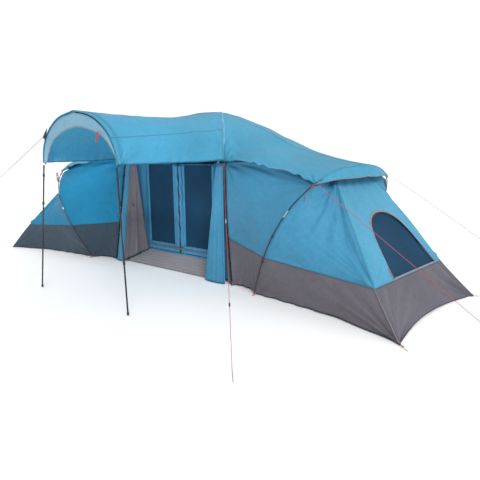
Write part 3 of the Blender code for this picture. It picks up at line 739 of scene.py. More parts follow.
def ribbon(
    name, centres, across, width, look, slot=None, body="tent", thickness=0.0012, crown=0.0, parent=None,
):
    """A strip of tape along its centres. across and width are one value, or a list with one each."""
    centres = [Vector(c) for c in centres]
    shares = np.linspace(-1, 1, 5)
    rows = []
    for i, centre in enumerate(centres):
        side = Vector(across[i] if isinstance(across, list) else across).normalized()
        up = side.cross(steps_ahead(centres, i)).normalized()
        half = (width[i] if isinstance(width, list) else width) / 2
        rows.append([tuple(centre + side * (s * half) + up * crown * (1 - s * s)) for s in shares])
    mesh = mesh_from_surface(name, Surface(np.array(rows, float)))
    obj = add_object(name, mesh, look, slot, body, parent)
    thicken(obj, thickness)
    return obj


def line_path(u0, v0, u1, v1, count):
    return [(u0 + (u1 - u0) * t, v0 + (v1 - v0) * t) for t in np.linspace(0, 1, count)]


def tape_on(name, s, path, width, look, parent, lift=0.002, crown=0.0008):
    """Tape sewn along a path on a sheet."""
    placed = [s.at(u, v, lift) for u, v in line_path(*path)]
    centres = [p for p, _ in placed]
    across = [normal.cross(steps_ahead(centres, i)).normalized() for i, (_, normal) in enumerate(placed)]
    return ribbon(name, centres, across, width, look, crown=crown, parent=parent)


def cord_curve(name, points, radius, look, slot=None, resolution=3, cyclic=False, parent=None):
    curve = bpy.data.curves.new(name, "CURVE")
    curve.dimensions = "3D"
    curve.bevel_depth = radius
    curve.bevel_resolution = resolution
    curve.use_fill_caps = not cyclic
    spline = curve.splines.new("POLY")
    spline.points.add(len(points) - 1)
    for point, place in zip(spline.points, points):
        point.co = (*place, 1.0)
    spline.use_cyclic_u = cyclic
    return add_object(name, curve, look, slot, parent=parent)


def binding(name, s, path, look, radius, parent):
    """A rounded edge binding along a path on a sheet."""
    points = [s.at(u, v)[0] for u, v in line_path(*path)]
    return cord_curve(name, points, radius, look, resolution=2, parent=parent)


def lathe(name, outline, place, direction, look, slot, body="tent"):
    """A turned piece: outline gives radius and height along direction, from place."""
    turn = Vector(direction).to_track_quat("Z", "Y").to_matrix()
    verts, faces = [], []
    count = len(outline)
    for i in range(LATHE_STEPS):
        angle = 2 * math.pi * i / LATHE_STEPS
        for radius, height in outline:
            spot = Vector((radius * math.cos(angle), radius * math.sin(angle), height))
            verts.append(tuple(Vector(place) + turn @ spot))
    for i in range(LATHE_STEPS):
        after = (i + 1) % LATHE_STEPS
        for k in range(count):
            j = (k + 1) % count
            faces.append((i * count + k, i * count + j, after * count + j, after * count + k))
    mesh = bpy.data.meshes.new(name)
    mesh.from_pydata(verts, [], faces)
    mesh.shade_smooth()
    mesh.set_sharp_from_angle(angle=math.radians(40))
    return add_object(name, mesh, look, slot, body)


def sleeve_outline(inner, outer, length):
    half = length / 2
    return [
        (inner, -half), (outer - SOFT_EDGE, -half), (outer, -half + SOFT_EDGE),
        (outer, half - SOFT_EDGE), (outer - SOFT_EDGE, half), (inner, half),
    ]


def ring_on(name, line, z, radius, walls, length, look, slot, reach=0.02):
    """A ring round a pole: walls are its inner and outer distances from the pole's surface."""
    along = line(z + reach) - line(z - reach)
    lathe(name, sleeve_outline(radius + walls[0], radius + walls[1], length), line(z), along, look, slot)
    return along.normalized()


# Roof panels


def rear_eave_moves(side, sections, corner):
    """How far each section's rear edge moves for the roof to cover the rear wall."""
    edges = [wing_to_world(side, *read(section, 1)) for section in sections]
    line = edges[-1] - corner
    outward = Vector((side * abs(line.y), abs(line.x), 0)).normalized()
    moves = []
    for edge, share in zip(edges, REAR_EAVE_SHARES):
        target = corner + line * share + outward * (4 * REAR_EAVE_BOW * share * (1 - share))
        moves.append(Vector((target.x - edge.x, target.y - edge.y, 0)))
    return moves


def wing_roof_place(side):
    front_line = hub_pole_half(side, 1)
    rear_line = hub_pole_half(side, -1)
    sections = [smooth_points(points, 33) for points in WING_ROOF_SECTIONS]
    hub_gap = Vector((side * SEAM_GAP, 0, 0))
    rear_moves = rear_eave_moves(side, sections, rear_line(1) + hub_gap)

    def place(u, v):
        t = 2 * v - 1
        across = abs(t)
        sign = 1 if t > 0 else -1
        stations = [(rear_line if t > 0 else front_line)(across) + hub_gap]
        for section, move in zip(sections, rear_moves):
            a, b, z = read(section, across)
            point = wing_to_world(side, a, sign * b, z)
            stations.append(point + move * across**2 if t > 0 else point)
        if u <= LIP_U:
            return through(stations, u / LIP_U)
        bow = 1 - across**2
        lip = wing_to_world(side, a + LIP_REACH * bow, sign * b, z - LIP_EDGE_DROP - LIP_DROP * bow)
        return stations[-1].lerp(lip, (u - LIP_U) / (1 - LIP_U))

    return place


def make_wing_roof(side, name):
    s = surface(wing_roof_place(side), (27, 29), (183, 141), (side * 1.5, 0, 4))
    folds = ripples(s, 11, (0.005, 7, 5), (0.002, 19, 16))
    hub_waves = np.sin(24 * s.v + 5 * s.u) * np.exp(-(((s.u - 0.2) / 0.22) ** 2))
    folds += 0.0045 * hub_waves * np.abs(2 * s.v - 1)
    edge = np.exp(-np.minimum(s.v, 1 - s.v) * s.height / 0.07)
    folds += 0.006 * edge * np.sin(s.u * 46 + 2 * np.sin(s.u * 17)) * (s.u < LIP_U)
    for v0, up in ((0.0, 1), (1.0, -1)):
        folds += fans(s, (0.02, v0, 13, 0.30, 0.016), (LIP_U, v0, 10, 0.22, 0.007))
        folds += pulls(
            s, 201,
            (0.0, v0, 5 * up, 75 * up, 11, 0.75, 0.009),
            (LIP_U, v0, 105 * up, 176 * up, 9, 0.60, 0.007),
            (0.45, v0, 20 * up, 160 * up, 6, 0.35, 0.005),
        )
    s.push(folds * rim(s, low_u=0.12, high_u=0.05))
    label = f"roof_wing_{name}"
    poles = [f"wing_arch_{name}", "hub_pole_upper", "hub_pole_lower"]
    obj = cloth(f"{label}_cloth", s, "roof", "roof_fabric", [label], poles)
    for v0, where in ((0.0, "front"), (1.0, "rear")):
        binding(f"{label}_hem_{where}", s, (0, v0, 1, v0, 90), "navy", 0.0040, obj)
    binding(f"{label}_hem_end", s, (1, 0, 1, 1, 90), "tape", 0.0045, obj)
    tape_on(f"{label}_arch_seam", s, (LIP_U, 0.01, LIP_U, 0.99, 90), 0.016, "roof", obj)
    tape_on(f"{label}_ridge_seam", s, (0.02, 0.5, LIP_U, 0.5, 80), 0.012, "roof", obj)


def make_canopy_roof():
    lines = {side: hub_pole_half(side, 1) for side, _ in SIDES}
    middle = smooth_points(CANOPY_MIDDLE, 33)
    edge_half = [(x * 1.024, CANOPY_EDGE_Y, z + 0.017) for x, z in CANOPY_ARCH_HALF[::-1]]
    front = smooth_points(edge_half, 33)

    def place(u, v):
        t = 2 * v - 1
        sign = 1 if t > 0 else -1
        mirror = Vector((sign, 1, 1))
        hub = lines[sign](abs(t)) - Vector((0, SEAM_GAP, 0))
        return through((hub, read(middle, abs(t)) * mirror, read(front, abs(t)) * mirror), u)

    s = surface(place, (27, 33), (157, 161), (0, -1.5, 4))
    t = np.abs(2 * s.v - 1)
    folds = ripples(s, 21, (0.004, 6, 6), (0.0018, 20, 18))
    folds += 0.006 * np.sin(20 * t + 3 * s.u) * np.exp(-(((s.u - 0.1) / 0.25) ** 2)) * t
    edge = np.exp(-(1 - t) * s.height / 2 / 0.08)
    folds += 0.005 * edge * np.sin(s.u * 40 + 2 * np.sin(s.u * 13))
    for v0, up in ((0.0, 1), (1.0, -1)):
        folds += fans(s, (0.0, v0, 10, 0.35, 0.013), (1.0, v0, 8, 0.25, 0.008))
        folds += pulls(
            s, 211,
            (0.0, v0, 3 * up, 80 * up, 12, 0.80, 0.010),
            (1.0, v0, 100 * up, 177 * up, 8, 0.55, 0.007),
            (0.0, 0.5 + (v0 - 0.5) * 0.7, 0, 50 * up, 4, 0.9, 0.004),
        )
    s.push(folds * rim(s, low_u=0.10, high_u=0.10))
    poles = ["canopy_arch", "hub_pole_upper", "hub_pole_lower"]
    obj = cloth("roof_canopy_cloth", s, "roof", "roof_fabric", ["roof_canopy"], poles)
    for v0, where in ((0.0, "left"), (1.0, "right")):
        binding(f"canopy_hem_{where}", s, (0, v0, 1, v0, 90), "navy", 0.0040, obj)
    binding("canopy_front_hem", s, (1, 0, 1, 1, 90), "roof", 0.0045, obj)
    for v0, where in ((0.165, "left"), (0.835, "right")):
        path = (0.0, v0, 1.0, v0 + (v0 - 0.5) * 0.06, 90)
        tape_on(f"canopy_seam_{where}", s, path, 0.010, "seam", obj, 0.0014, 0.0004)
    tape_on("canopy_ridge_seam", s, (0.06, 0.5, 1, 0.5, 60), 0.012, "roof", obj)
    tape_on("canopy_arch_sleeve", s, (0.965, 0.0, 0.965, 1.0, 90), 0.030, "roof", obj, 0.003, 0.003)
    return obj


def make_pole_sleeves(canopy):
    """Pale sleeve strips over the hub poles, where canopy and wing roofs meet."""
    for side, name in SIDES:
        for front, where in ENDS:
            line = hub_pole_half(side, front)
            centres, across, widths = [], [], []
            for t in np.linspace(0.0, 1.0, 60):
                along = line(min(t + 0.02, 1.0)) - line(max(t - 0.02, 0.0))
                outward = along.cross(UP.cross(along)).normalized()
                puff = 0.0018 * math.sin(31 * t + 2 * math.sin(9 * t))
                centres.append(line(t) + outward * (0.004 + puff))
                across.append(outward.cross(along).normalized())
                widths.append(0.030 + 0.010 * t + 0.003 * math.sin(23 * t))
            ribbon(
                f"hub_sleeve_{where}_{name}", centres, across, widths, "sleeve", crown=0.005, parent=canopy,
            )


def make_rear_roof():
    lines = {side: hub_pole_half(side, -1) for side, _ in SIDES}
    corner_x, edge_y, edge_z = REAR_ROOF_EDGE

    def place(u, v):
        t = 2 * v - 1
        bow = 1 - t * t
        hub = lines[1 if t > 0 else -1](abs(t)) + Vector((0, SEAM_GAP, 0))
        edge = Vector((t * corner_x, edge_y + REAR_ROOF_BOW[0] * bow, edge_z - REAR_ROOF_BOW[1] * bow))
        return through((hub, hub.lerp(edge, 0.5) + Vector((0, 0.05, 0.10)) * bow, edge), u)

    s = surface(place, (17, 25), (81, 97), (0, 3, 4))
    folds = ripples(s, 31, (0.004, 5, 6), (0.0015, 15, 18))
    folds += fans(s, (1.0, 0.0, 9, 0.3, 0.008), (1.0, 1.0, 9, 0.3, 0.008))
    s.push(folds * rim(s, low_u=0.08, high_u=0.03))
    obj = cloth(
        "roof_rear_cloth", s, "roof", "roof_fabric", ["roof_rear"], ["hub_pole_upper", "hub_pole_lower"],
    )
    binding("roof_rear_hem", s, (1, 0, 1, 1, 70), "navy", 0.0040, obj)
    tape_on("roof_rear_seam", s, (0.06, 0.5, 1, 0.5, 50), 0.012, "roof", obj)


# Walls


def side_places(side, front):
    """A wing side's wall and skirt, both running hub, arch, end."""
    arch = arch_leg(side, front, ARCH_INSET, INNER_SCALE_Z)
    lines = (hub_line(side, front, 0.004), arch, end_line(side, front))
    tops = (WALL_TOP_Z, SHOULDER_Z * INNER_SCALE_Z, END_TOP_Z)
    seams = (SEAM_HUB_Z, SEAM_ARCH_Z, SEAM_END_Z)
    tucks = (HUB_HEM_TUCK, WING_HEM_TUCK)
    inward = wing_way(side, 0, front, 0)
    short = wing_way(side, -SEAM_GAP, 0, 0)

    def stretch(u):
        return (0, u / ARCH_U) if u <= ARCH_U else (1, (u - ARCH_U) / (1 - ARCH_U))

    def at(u, low, high, v, bulge):
        i, k = stretch(u)
        rise = bulge * 4 * k * (1 - k) * v if i == 0 else 0.0
        from_z = low[i] + (high[i] - low[i]) * v + rise
        to_z = low[i + 1] + (high[i + 1] - low[i + 1]) * v + rise
        return lines[i](from_z).lerp(lines[i + 1](to_z), k) + short * (i * k)

    def wall(u, v):
        return at(u, [z + SEAM_LIFT for z in seams], tops, v, EAVE_BULGE)

    def skirt(u, v):
        i, k = stretch(u)
        bow = 4 * k * (1 - k)
        return at(u, [HEM_Z + HEM_LIFT * bow] * 3, seams, v, 0.0) + inward * (tucks[i] * bow * (1 - v))

    return wall, skirt


def make_wing_wall(side, name, front, where, place):
    s = surface(place, (29, 17), (197, 105), wing_to_world(side, 1.8, -front * 4, 0.6))
    near_pole = np.clip(np.abs(s.u - ARCH_U) * s.width / 0.10, 0.15, 1)
    folds = ripples(s, 41 + front, (0.006, 7, 3), (0.0022, 24, 14))
    folds += fans(
        s, (0.0, 1.0, 12, 0.35, 0.009), (ARCH_U, 1.0, 11, 0.30, 0.007),
        (1.0, 0.0, 9, 0.45, 0.006), (0.0, 0.0, 8, 0.3, 0.005),
    )
    facet = np.clip((s.u - 0.62) / 0.38, 0, 1)
    rays = np.sin(34 * (1 - s.u) / (0.22 + 0.9 * (1 - s.v)) + 1.2)
    folds += 0.009 * facet * (1.1 - facet * 0.5) * rays * np.exp(-(((s.v - 0.55) / 0.42) ** 2))
    folds += pulls(
        s, 221,
        (0.0, 1.0, -80, -8, 9, 0.80, 0.008), (ARCH_U, 1.0, -172, -118, 6, 0.60, 0.006),
        (ARCH_U, 1.0, -75, -15, 6, 0.70, 0.006), (1.0, 1.0, 196, 264, 11, 1.15, 0.010),
        (1.0, 0.0, 98, 172, 10, 0.90, 0.007), (0.0, 0.0, 8, 80, 6, 0.50, 0.006),
    )
    s.push(folds * near_pole * rim(s, low_u=0.05, high_u=0.05, high_v=0.06, low_v=0.05))
    label = f"wall_{where}_{name}"
    # The left wing's front wall takes the darker copy of the wall cloth: painted shade for the canopy's
    # shadow on it.
    look = "wall" if side > 0 or front < 0 else "painted_shade_wall"
    obj = cloth(f"{label}_cloth", s, look, "wall_fabric", [label], [f"wing_arch_{name}", "hub_pole_upper"])
    binding(f"{label}_corner", s, (1, 0, 1, 1, 50), "end", 0.0045, obj)
    binding(f"{label}_seam", s, (0, 0, 1, 0, 90), "navy", 0.0028, obj)


def make_wing_skirt(side, name, front, where, place):
    s = surface(place, (29, 9), (197, 49), wing_to_world(side, 1.8, -front * 4, 0.6))
    near_pole = np.clip(np.abs(s.u - ARCH_U) * s.width / 0.08, 0.15, 1)
    folds = ripples(s, 51 + front, (0.005, 8, 2), (0.0018, 28, 8))
    folds += fans(s, (1.0, 0.0, 14, 0.35, 0.016), (ARCH_U, 0.0, 10, 0.25, 0.009), (0.0, 0.0, 9, 0.25, 0.009))
    folds += pulls(
        s, 231,
        (1.0, 0.0, 100, 177, 10, 0.60, 0.008), (ARCH_U, 0.0, 8, 80, 6, 0.45, 0.006),
        (ARCH_U, 0.0, 100, 172, 6, 0.40, 0.006), (0.0, 0.0, 8, 80, 6, 0.40, 0.006),
    )
    folds += 0.004 * np.exp(-s.v * s.height / 0.06) * np.sin(s.u * 60 + 3 * np.sin(s.u * 11))
    s.push(folds * near_pole * rim(s, low_u=0.04, high_u=0.04, high_v=0.05))
    label = f"skirt_{where}_{name}"
    # The left wing's front skirt takes the darker copy of the skirt cloth: painted shade for the canopy's
    # shadow on it.
    look = "skirt" if side > 0 or front < 0 else "painted_shade_skirt"
    obj = cloth(f"{label}_cloth", s, look, "skirt_fabric", [label], [f"wing_arch_{name}"])
    binding(f"{label}_hem", s, (0, 0.012, 1, 0.012, 90), "dark", 0.0035, obj)
    binding(f"{label}_corner", s, (1, 0.02, 1, 1, 30), "tape", 0.0040, obj)


def end_place(side, u, z):
    front = end_edge_b(1, z) + SEAM_LIFT
    rear = end_edge_b(-1, z) - SEAM_LIFT
    return wing_to_world(side, END_A - END_LEAN * z, front + (rear - front) * u, z)


def window_points(side, lift=0.0, count=80, shrink=0.0):
    """The window's outline on the end wall's plane, from its sill's front corner round."""
    half = [(b, z) for b, z in WINDOW_HALF] + [(0.0, WINDOW_TOP_Z)]
    ring = [(-b, 0.0, z) for b, z in half] + [(b, 0.0, z) for b, z in half[-2::-1]]
    sill_z = WINDOW_HALF[0][1]
    points = []
    for b, _, z in smooth_points(ring, count):
        z = sill_z + (z - sill_z) * (1 - shrink)
        b = WINDOW_MIDDLE_B + b * (1 - shrink)
        points.append(wing_to_world(side, END_A - END_LEAN * z + lift, b, z + lift * END_LEAN))
    return points


def window_cutter(side):
    """A closed solid of the window's shape, through the end wall."""
    outline = window_points(side)
    out = wing_way(side, 1.0, 0, END_LEAN).normalized() * 0.12
    bm = bmesh.new()
    low = [bm.verts.new(p - out) for p in outline]
    high = [bm.verts.new(p + out) for p in outline]
    bm.faces.new(low)
    bm.faces.new(high[::-1])
    for i in range(len(outline)):
        k = (i + 1) % len(outline)
        bm.faces.new((low[i], high[i], high[k], low[k]))
    bmesh.ops.recalc_face_normals(bm, faces=bm.faces)
    mesh = bpy.data.meshes.new("cutter")
    bm.to_mesh(mesh)
    bm.free()
    cutter = bpy.data.objects.new("cutter", mesh)
    bpy.context.scene.collection.objects.link(cutter)
    return cutter


def cut_window(obj, side):
    cutter = window_cutter(side)
    boolean = obj.modifiers.new("window", "BOOLEAN")
    boolean.operation = "DIFFERENCE"
    boolean.solver = "EXACT"
    boolean.object = cutter
    bpy.context.view_layer.update()
    graph = bpy.context.evaluated_depsgraph_get()
    cut_mesh = bpy.data.meshes.new_from_object(obj.evaluated_get(graph))
    obj.modifiers.clear()
    old = obj.data
    obj.data = cut_mesh
    bpy.data.meshes.remove(old)
    bpy.data.objects.remove(cutter, do_unlink=True)


def trim_window(side, name, wall):
    """Binding, zip and sill round the window."""
    rim_points = window_points(side, 0.003, 90)
    out = wing_way(side, 1.0, 0, END_LEAN).normalized()
    across = [out.cross(steps_ahead(rim_points, i)).normalized() for i in range(len(rim_points))]
    ribbon(f"window_binding_{name}", rim_points, across, 0.022, "tape", crown=0.002, parent=wall)
    zip_points = window_points(side, 0.006, 90, 0.035)
    cord_curve(f"window_zip_{name}", zip_points, 0.0028, "dark", "insect_mesh", parent=wall)
    sill = [rim_points[0].lerp(rim_points[-1], t) for t in np.linspace(0, 1, 20)]
    up = wing_way(side, -END_LEAN, 0, 1)
    ribbon(f"window_sill_{name}", sill, up, 0.016, "tape", crown=0.002, parent=wall)


def make_wing_end(side, name):
    toward = wing_to_world(side, 6, 0, 1)
    inward = wing_way(side, -1, 0, 0)

    def wall(u, v):
        low = SEAM_END_Z + SEAM_LIFT
        return end_place(side, u, low + (END_TOP_Z - low) * v)

    def skirt(u, v):
        bow = 4 * u * (1 - u)
        low = HEM_Z + HEM_LIFT * bow
        return end_place(side, u, low + (SEAM_END_Z - low) * v) + inward * (END_HEM_TUCK * bow * (1 - v))

    s = surface(wall, (11, 17), (91, 81), toward)
    folds = ripples(s, 61, (0.004, 4, 4), (0.0016, 14, 14))
    folds += fans(s, (0.0, 0.0, 10, 0.3, 0.006), (1.0, 0.0, 10, 0.3, 0.006))
    folds += 0.004 * np.sin(s.u * 30) * np.exp(-(((s.v - 1) / 0.3) ** 2))
    folds += pulls(
        s, 241,
        (0.0, 0.0, 8, 82, 8, 0.60, 0.006), (1.0, 0.0, 98, 172, 8, 0.60, 0.006),
        (0.0, 1.0, -80, -30, 6, 0.60, 0.006), (1.0, 1.0, -150, -100, 6, 0.60, 0.006),
    )
    s.push(folds * rim(s, 0.05, 0.05, 0.05, 0.05))
    label = f"wall_end_{name}"
    obj = cloth(f"{label}_cloth", s, "end", "wall_fabric", [label], [f"wing_arch_{name}"])
    cut_window(obj, side)
    SHEETS[obj.name][1]["area"] -= WINDOW_AREA
    trim_window(side, name, obj)
    low = surface(skirt, (11, 9), (91, 41), toward)
    folds = ripples(low, 71, (0.004, 5, 2), (0.0016, 18, 8))
    folds += fans(low, (0.0, 0.0, 14, 0.35, 0.016), (1.0, 0.0, 13, 0.3, 0.013))
    folds += pulls(low, 251, (0.0, 0.0, 5, 84, 10, 0.60, 0.008), (1.0, 0.0, 96, 175, 9, 0.60, 0.007))
    low.push(folds * rim(low, low_u=0.04, high_u=0.04, high_v=0.05))
    base = cloth(
        f"skirt_end_{name}_cloth", low, "end_skirt", "skirt_fabric", [f"skirt_end_{name}"], [obj.name],
    )
    binding(f"skirt_end_{name}_hem", low, (0, 0.012, 1, 0.012, 70), "dark", 0.0035, base)
    net = surface(lambda u, v: net_place(side, u, v), (9, 15), (41, 51), toward)
    net.push(ripples(net, 73, (0.002, 4, 4)) - 0.004)
    cloth(f"end_window_{name}_net", net, "mesh", "insect_mesh", [f"end_window_{name}"], [obj.name])


def make_gable(side, name):
    """The cloth between the end wall's top, the shoulders and the arch above them."""
    shoulder_z = SHOULDER_Z * INNER_SCALE_Z
    half = [(b - ARCH_INSET, 0.0, z * INNER_SCALE_Z) for b, z in ARCH_HALF[:-1] if z >= SHOULDER_Z]
    arch = smooth_points(half + [(0.0, 0.0, ARCH_HALF[-1][1] * INNER_SCALE_Z)], 41)

    def place(u, v):
        k, sign = mirrored_half(u)
        b, _, z = read(arch, k)
        inner = min((1 - k) / 0.5, 1.0)
        outer = max(0.0, (0.5 - k) / 0.5)
        low_b = GABLE_HALF * inner + (SHOULDER_B - ARCH_INSET - GABLE_HALF) * outer
        low_z = END_TOP_Z - (END_TOP_Z - shoulder_z) * outer
        low_a = ARCH_FOOT_A + ARCH_LEAN * SHOULDER_Z
        low_a += (END_A - END_LEAN * END_TOP_Z - low_a) * (1 - outer)
        low = wing_to_world(side, low_a, sign * low_b, low_z)
        return low.lerp(wing_to_world(side, ARCH_FOOT_A + ARCH_LEAN * z, sign * b, z), v)

    s = surface(place, (41, 5), (121, 17), wing_to_world(side, 6, 0, 2))
    s.push(0.0016 * np.sin(s.u * 60) * rim(s, low_v=0.03, high_v=0.03))
    cloth(f"gable_{name}_cloth", s, "end", "wall_fabric", [], [f"wing_arch_{name}"])


def net_place(side, u, v):
    """The window's net, reaching a little past the opening's edge."""
    outline = np.array(WINDOW_HALF + ((0.0, WINDOW_TOP_Z),))
    low = WINDOW_HALF[0][1] - NET_LAP_FOOT
    z = low + (WINDOW_TOP_Z + NET_LAP_TOP - low) * v
    half = max(float(np.interp(z, outline[:, 1], outline[:, 0])) + NET_LAP_SIDE, NET_TIP_HALF)
    return wing_to_world(side, END_A - END_LEAN * z, WINDOW_MIDDLE_B + half * (2 * u - 1), z)


def make_rear_hub_walls():
    lines = []
    for side in (-1, 1):
        leg = [(side * (x - POLE_CLEARANCE), -y - REAR_WALL_SETBACK, z) for x, y, z in HUB_LEG]
        lines.append(by_height(leg))

    def make(label, low, high, tuck, rise, slot, look, hem_look):
        def place(u, v):
            z = low + (high + rise * (2 * u - 1) ** 2 - low) * v
            return lines[0](z).lerp(lines[1](z), u) + Vector((0, -tuck * 4 * u * (1 - u) * (1 - v), 0))

        s = surface(place, (11, 9), (91, 41), (0, 4, 0.6))
        folds = ripples(s, 81, (0.005, 5, 3), (0.002, 16, 9))
        folds += fans(s, (0.0, 0.0, 9, 0.3, 0.008), (1.0, 0.0, 9, 0.3, 0.008))
        s.push(folds * rim(s, low_u=0.05, high_u=0.05, high_v=0.05))
        obj = cloth(f"{label}_cloth", s, look, slot, [label], ["hub_pole_upper", "hub_pole_lower"])
        binding(f"{label}_hem", s, (0, 0.012, 1, 0.012, 70), hem_look, 0.0030, obj)

    make(
        "wall_rear_hub", SEAM_HUB_Z + SEAM_STEP, REAR_WALL_TOP_Z,
        0.0, REAR_CORNER_RISE, "wall_fabric", "wall", "navy",
    )
    make("skirt_rear_hub", HEM_Z, SEAM_HUB_Z, REAR_HEM_TUCK, 0.0, "skirt_fabric", "skirt", "dark")


# Door


def make_jamb(side, name):
    edge = hub_line(side, 1, -0.004)

    def place(u, v):
        z = HEM_Z + (WALL_TOP_Z - HEM_Z) * v
        bend = Vector((side * JAMB_X, DOOR_Y, z))
        if u < JAMB_BEND_U:
            return Vector((side * (DOOR_HALF_WIDTH + DOOR_GAP), DOOR_Y, z)).lerp(bend, u / JAMB_BEND_U)
        return bend.lerp(edge(z), (u - JAMB_BEND_U) / (1 - JAMB_BEND_U))

    s = surface(place, (21, 9), (61, 61), IN_FRONT)
    folds = 0.004 * np.sin(s.u * 22 + 2 * s.v) * (1 - s.v * 0.4) + ripples(s, 91, (0.003, 4, 5))
    s.push(folds * rim(s, low_u=0.03, high_u=0.03))
    stands_for = ["door_surround"] if side > 0 else []
    poles = ["hub_pole_upper", "hub_pole_lower"]
    obj = cloth(f"door_jamb_{name}_cloth", s, "wall", "wall_fabric", stands_for, poles)
    binding(f"door_jamb_{name}_tape", s, (0.05, 0.12, 0.05, 1, 60), "navy", 0.0040, obj)


def upright_corners(x0, x1, z0, z1, y):
    return [(x0, y, z0), (x1, y, z0), (x1, y, z1), (x0, y, z1)]


def make_door_frame():
    for side, name in SIDES:
        make_jamb(side, name)
    half = DOOR_HALF_WIDTH + DOOR_GAP
    board = panel_surface(upright_corners(-half, half, HEM_Z, DOOR_BOTTOM_Z, DOOR_Y), (81, 13), (0, -4, 0.1))
    board.push(ripples(board, 92, (0.003, 9, 2)))
    cloth("door_threshold_cloth", board, "frame", "wall_fabric", [], ["door_sill_cloth"])

    def sill(u, v):
        wide = SILL_HALF_BOTTOM + (SILL_HALF_TOP - SILL_HALF_BOTTOM) * v
        y = SILL_FRONT_Y + (DOOR_Y - SEAM_GAP - SILL_FRONT_Y) * v
        return Vector(((2 * u - 1) * wide, y, HEM_Z + (SILL_TOP_Z - HEM_Z) * v))

    s = surface(sill, (9, 9), (101, 41), (0, -3, 3))
    s.push((ripples(s, 93, (0.003, 8, 3)) + 0.0025 * np.sin(s.v * 40)) * rim(s, high_v=0.02))
    obj = cloth("door_sill_cloth", s, "sill", "groundsheet", ["door_sill"], ["groundsheet_hub_cloth"], "laid")
    binding("door_sill_hem", s, (0, 0.02, 1, 0.02, 60), "tape", 0.0035, obj)


def make_mesh_door(side, name):
    """A mesh door: net in a cloth frame, with a grey tape across its foot."""
    body = f"mesh_door_{name}"
    low, high = DOOR_BOTTOM_Z + DOOR_GAP, DOOR_TOP_Z - DOOR_HEAD_GAP
    lo, hi = sorted((side * DOOR_GAP / 2, side * DOOR_HALF_WIDTH))
    inner_lo, inner_hi = lo + NET_STILE[side < 0], hi - NET_STILE[side > 0]
    foot, head = low + DOOR_FOOT, high - DOOR_HEAD
    lap = NET_LAP_FOOT
    corners = upright_corners(inner_lo - lap, inner_hi + lap, foot - lap, head + NET_LAP_TOP, DOOR_Y)
    net = panel_surface(corners, (41, 81), IN_FRONT)
    net.push(ripples(net, 95, (0.003, 3, 6)) * rim(net, 0.04, 0.04, 0.04, 0.04))
    main = cloth(f"door_net_{name}", net, "mesh", "insect_mesh", [body], ["hub_pole_lower"], "hung", body)
    for label, ring in (
        ("foot", (lo, hi, low, foot)), ("head", (lo, hi, head, high)),
        ("stile_a", (lo, inner_lo, foot, head)), ("stile_b", (inner_hi, hi, foot, head)),
    ):
        is_stile = label.startswith("stile")
        s = panel_surface(
            upright_corners(*ring, DOOR_Y - DOOR_FRAME_STEP), (25, 61) if is_stile else (81, 17), IN_FRONT,
        )
        along = s.v if is_stile else s.u
        waves = 0.0014 * np.sin(along * 60 + 2 * np.sin(along * 19)) + ripples(s, 96, (0.002, 4, 6))
        s.push(waves * rim(s, low_u=0.02, high_u=0.02))
        cloth(f"door_{label}_{name}", s, "frame", "wall_fabric", [], [main.name], "hung", body)
    tape = []
    for t in np.linspace(0, 1, 40):
        tape.append(
            (lo + (hi - lo) * t, DOOR_Y - FOOT_TAPE_STEP, low + FOOT_TAPE_Z + 0.002 * math.sin(25 * t)),
        )
    ribbon(f"door_foot_tape_{name}", tape, UP, 0.022, "lining", "wall_fabric", body, crown=0.001, parent=main)
    teeth = []
    for t in np.linspace(0, 1, 90):
        y = DOOR_Y - 0.004 - 0.0012 * math.sin(40 * t)
        teeth.append((side * (DOOR_GAP / 2 + 0.004), y, DOOR_BOTTOM_Z + 0.010 + 1.14 * t))
    sideways = Vector((1, 0, 0))
    ribbon(f"door_zip_tape_{name}", teeth, sideways, 0.016, "zip", "runner_black", body, 0.002, 0.001, main)
    flap = []
    for t in np.linspace(0, 1, 70):
        x = side * (0.034 + 0.006 * math.sin(31 * t + side))
        flap.append((x, DOOR_Y - 0.008 - 0.003 * math.sin(47 * t), DOOR_BOTTOM_Z + 0.09 + 1.04 * t))
    ribbon(f"door_zip_flap_{name}", flap, sideways, 0.050, "frame", "wall_fabric", body, 0.0014, 0.006, main)


def make_curtain(side, name, foot_r, top_r, foot_x, top_x):
    """An outer door curtain, gathered at the eave and pleated."""
    def place(u, v):
        angle = 2 * math.pi * u
        radius = foot_r + (top_r - foot_r) * v
        pleats = math.cos(11 * angle + 1.3 * math.sin(2.1 * v)) * (0.6 + 0.4 * (1 - v))
        radius *= 1 + (0.13 + 0.02 * math.sin(5 * v)) * pleats
        y = radius * math.sin(angle) * (CURTAIN_FLAT_FOOT + CURTAIN_FLAT_GROWTH * v)
        y += CURTAIN_FOOT_Y + CURTAIN_LEAN * v
        x = radius * math.cos(angle) + foot_x + (top_x - foot_x) * v
        return Vector((side * x, y, CURTAIN_FOOT_Z + CURTAIN_HEIGHT * v))

    s = surface(place, (161, 13), (161, 61))
    s.points[:, -1] = s.points[:, 0]
    obj = cloth(f"door_curtain_{name}_cloth", s, "wall", "wall_fabric", [f"door_curtain_{name}"],
                [f"wall_front_{name}_cloth"], "gathered", closed=True)
    hem = [tuple(s.points[0, i]) for i in range(0, 160, 2)]
    cord_curve(f"door_curtain_{name}_hem", hem, 0.0028, "navy", cyclic=True, parent=obj)


def make_lining():
    """The grey gusset seen inside the left curtain, from the eave down to the sill."""
    s = panel_surface(LINING_CORNERS, (61, 81), (1, -3, 0.6))
    s.push(0.006 * np.sin(s.u * 15) * (1 - s.v) + ripples(s, 97, (0.002, 5, 8)))
    obj = cloth("door_lining_cloth", s, "lining", "wall_fabric", [], ["door_jamb_left_cloth"], "hung")
    tape_on("door_lining_fold", s, (0.55, 0.02, 0.62, 0.98, 40), 0.014, "tape", obj)


# Inside


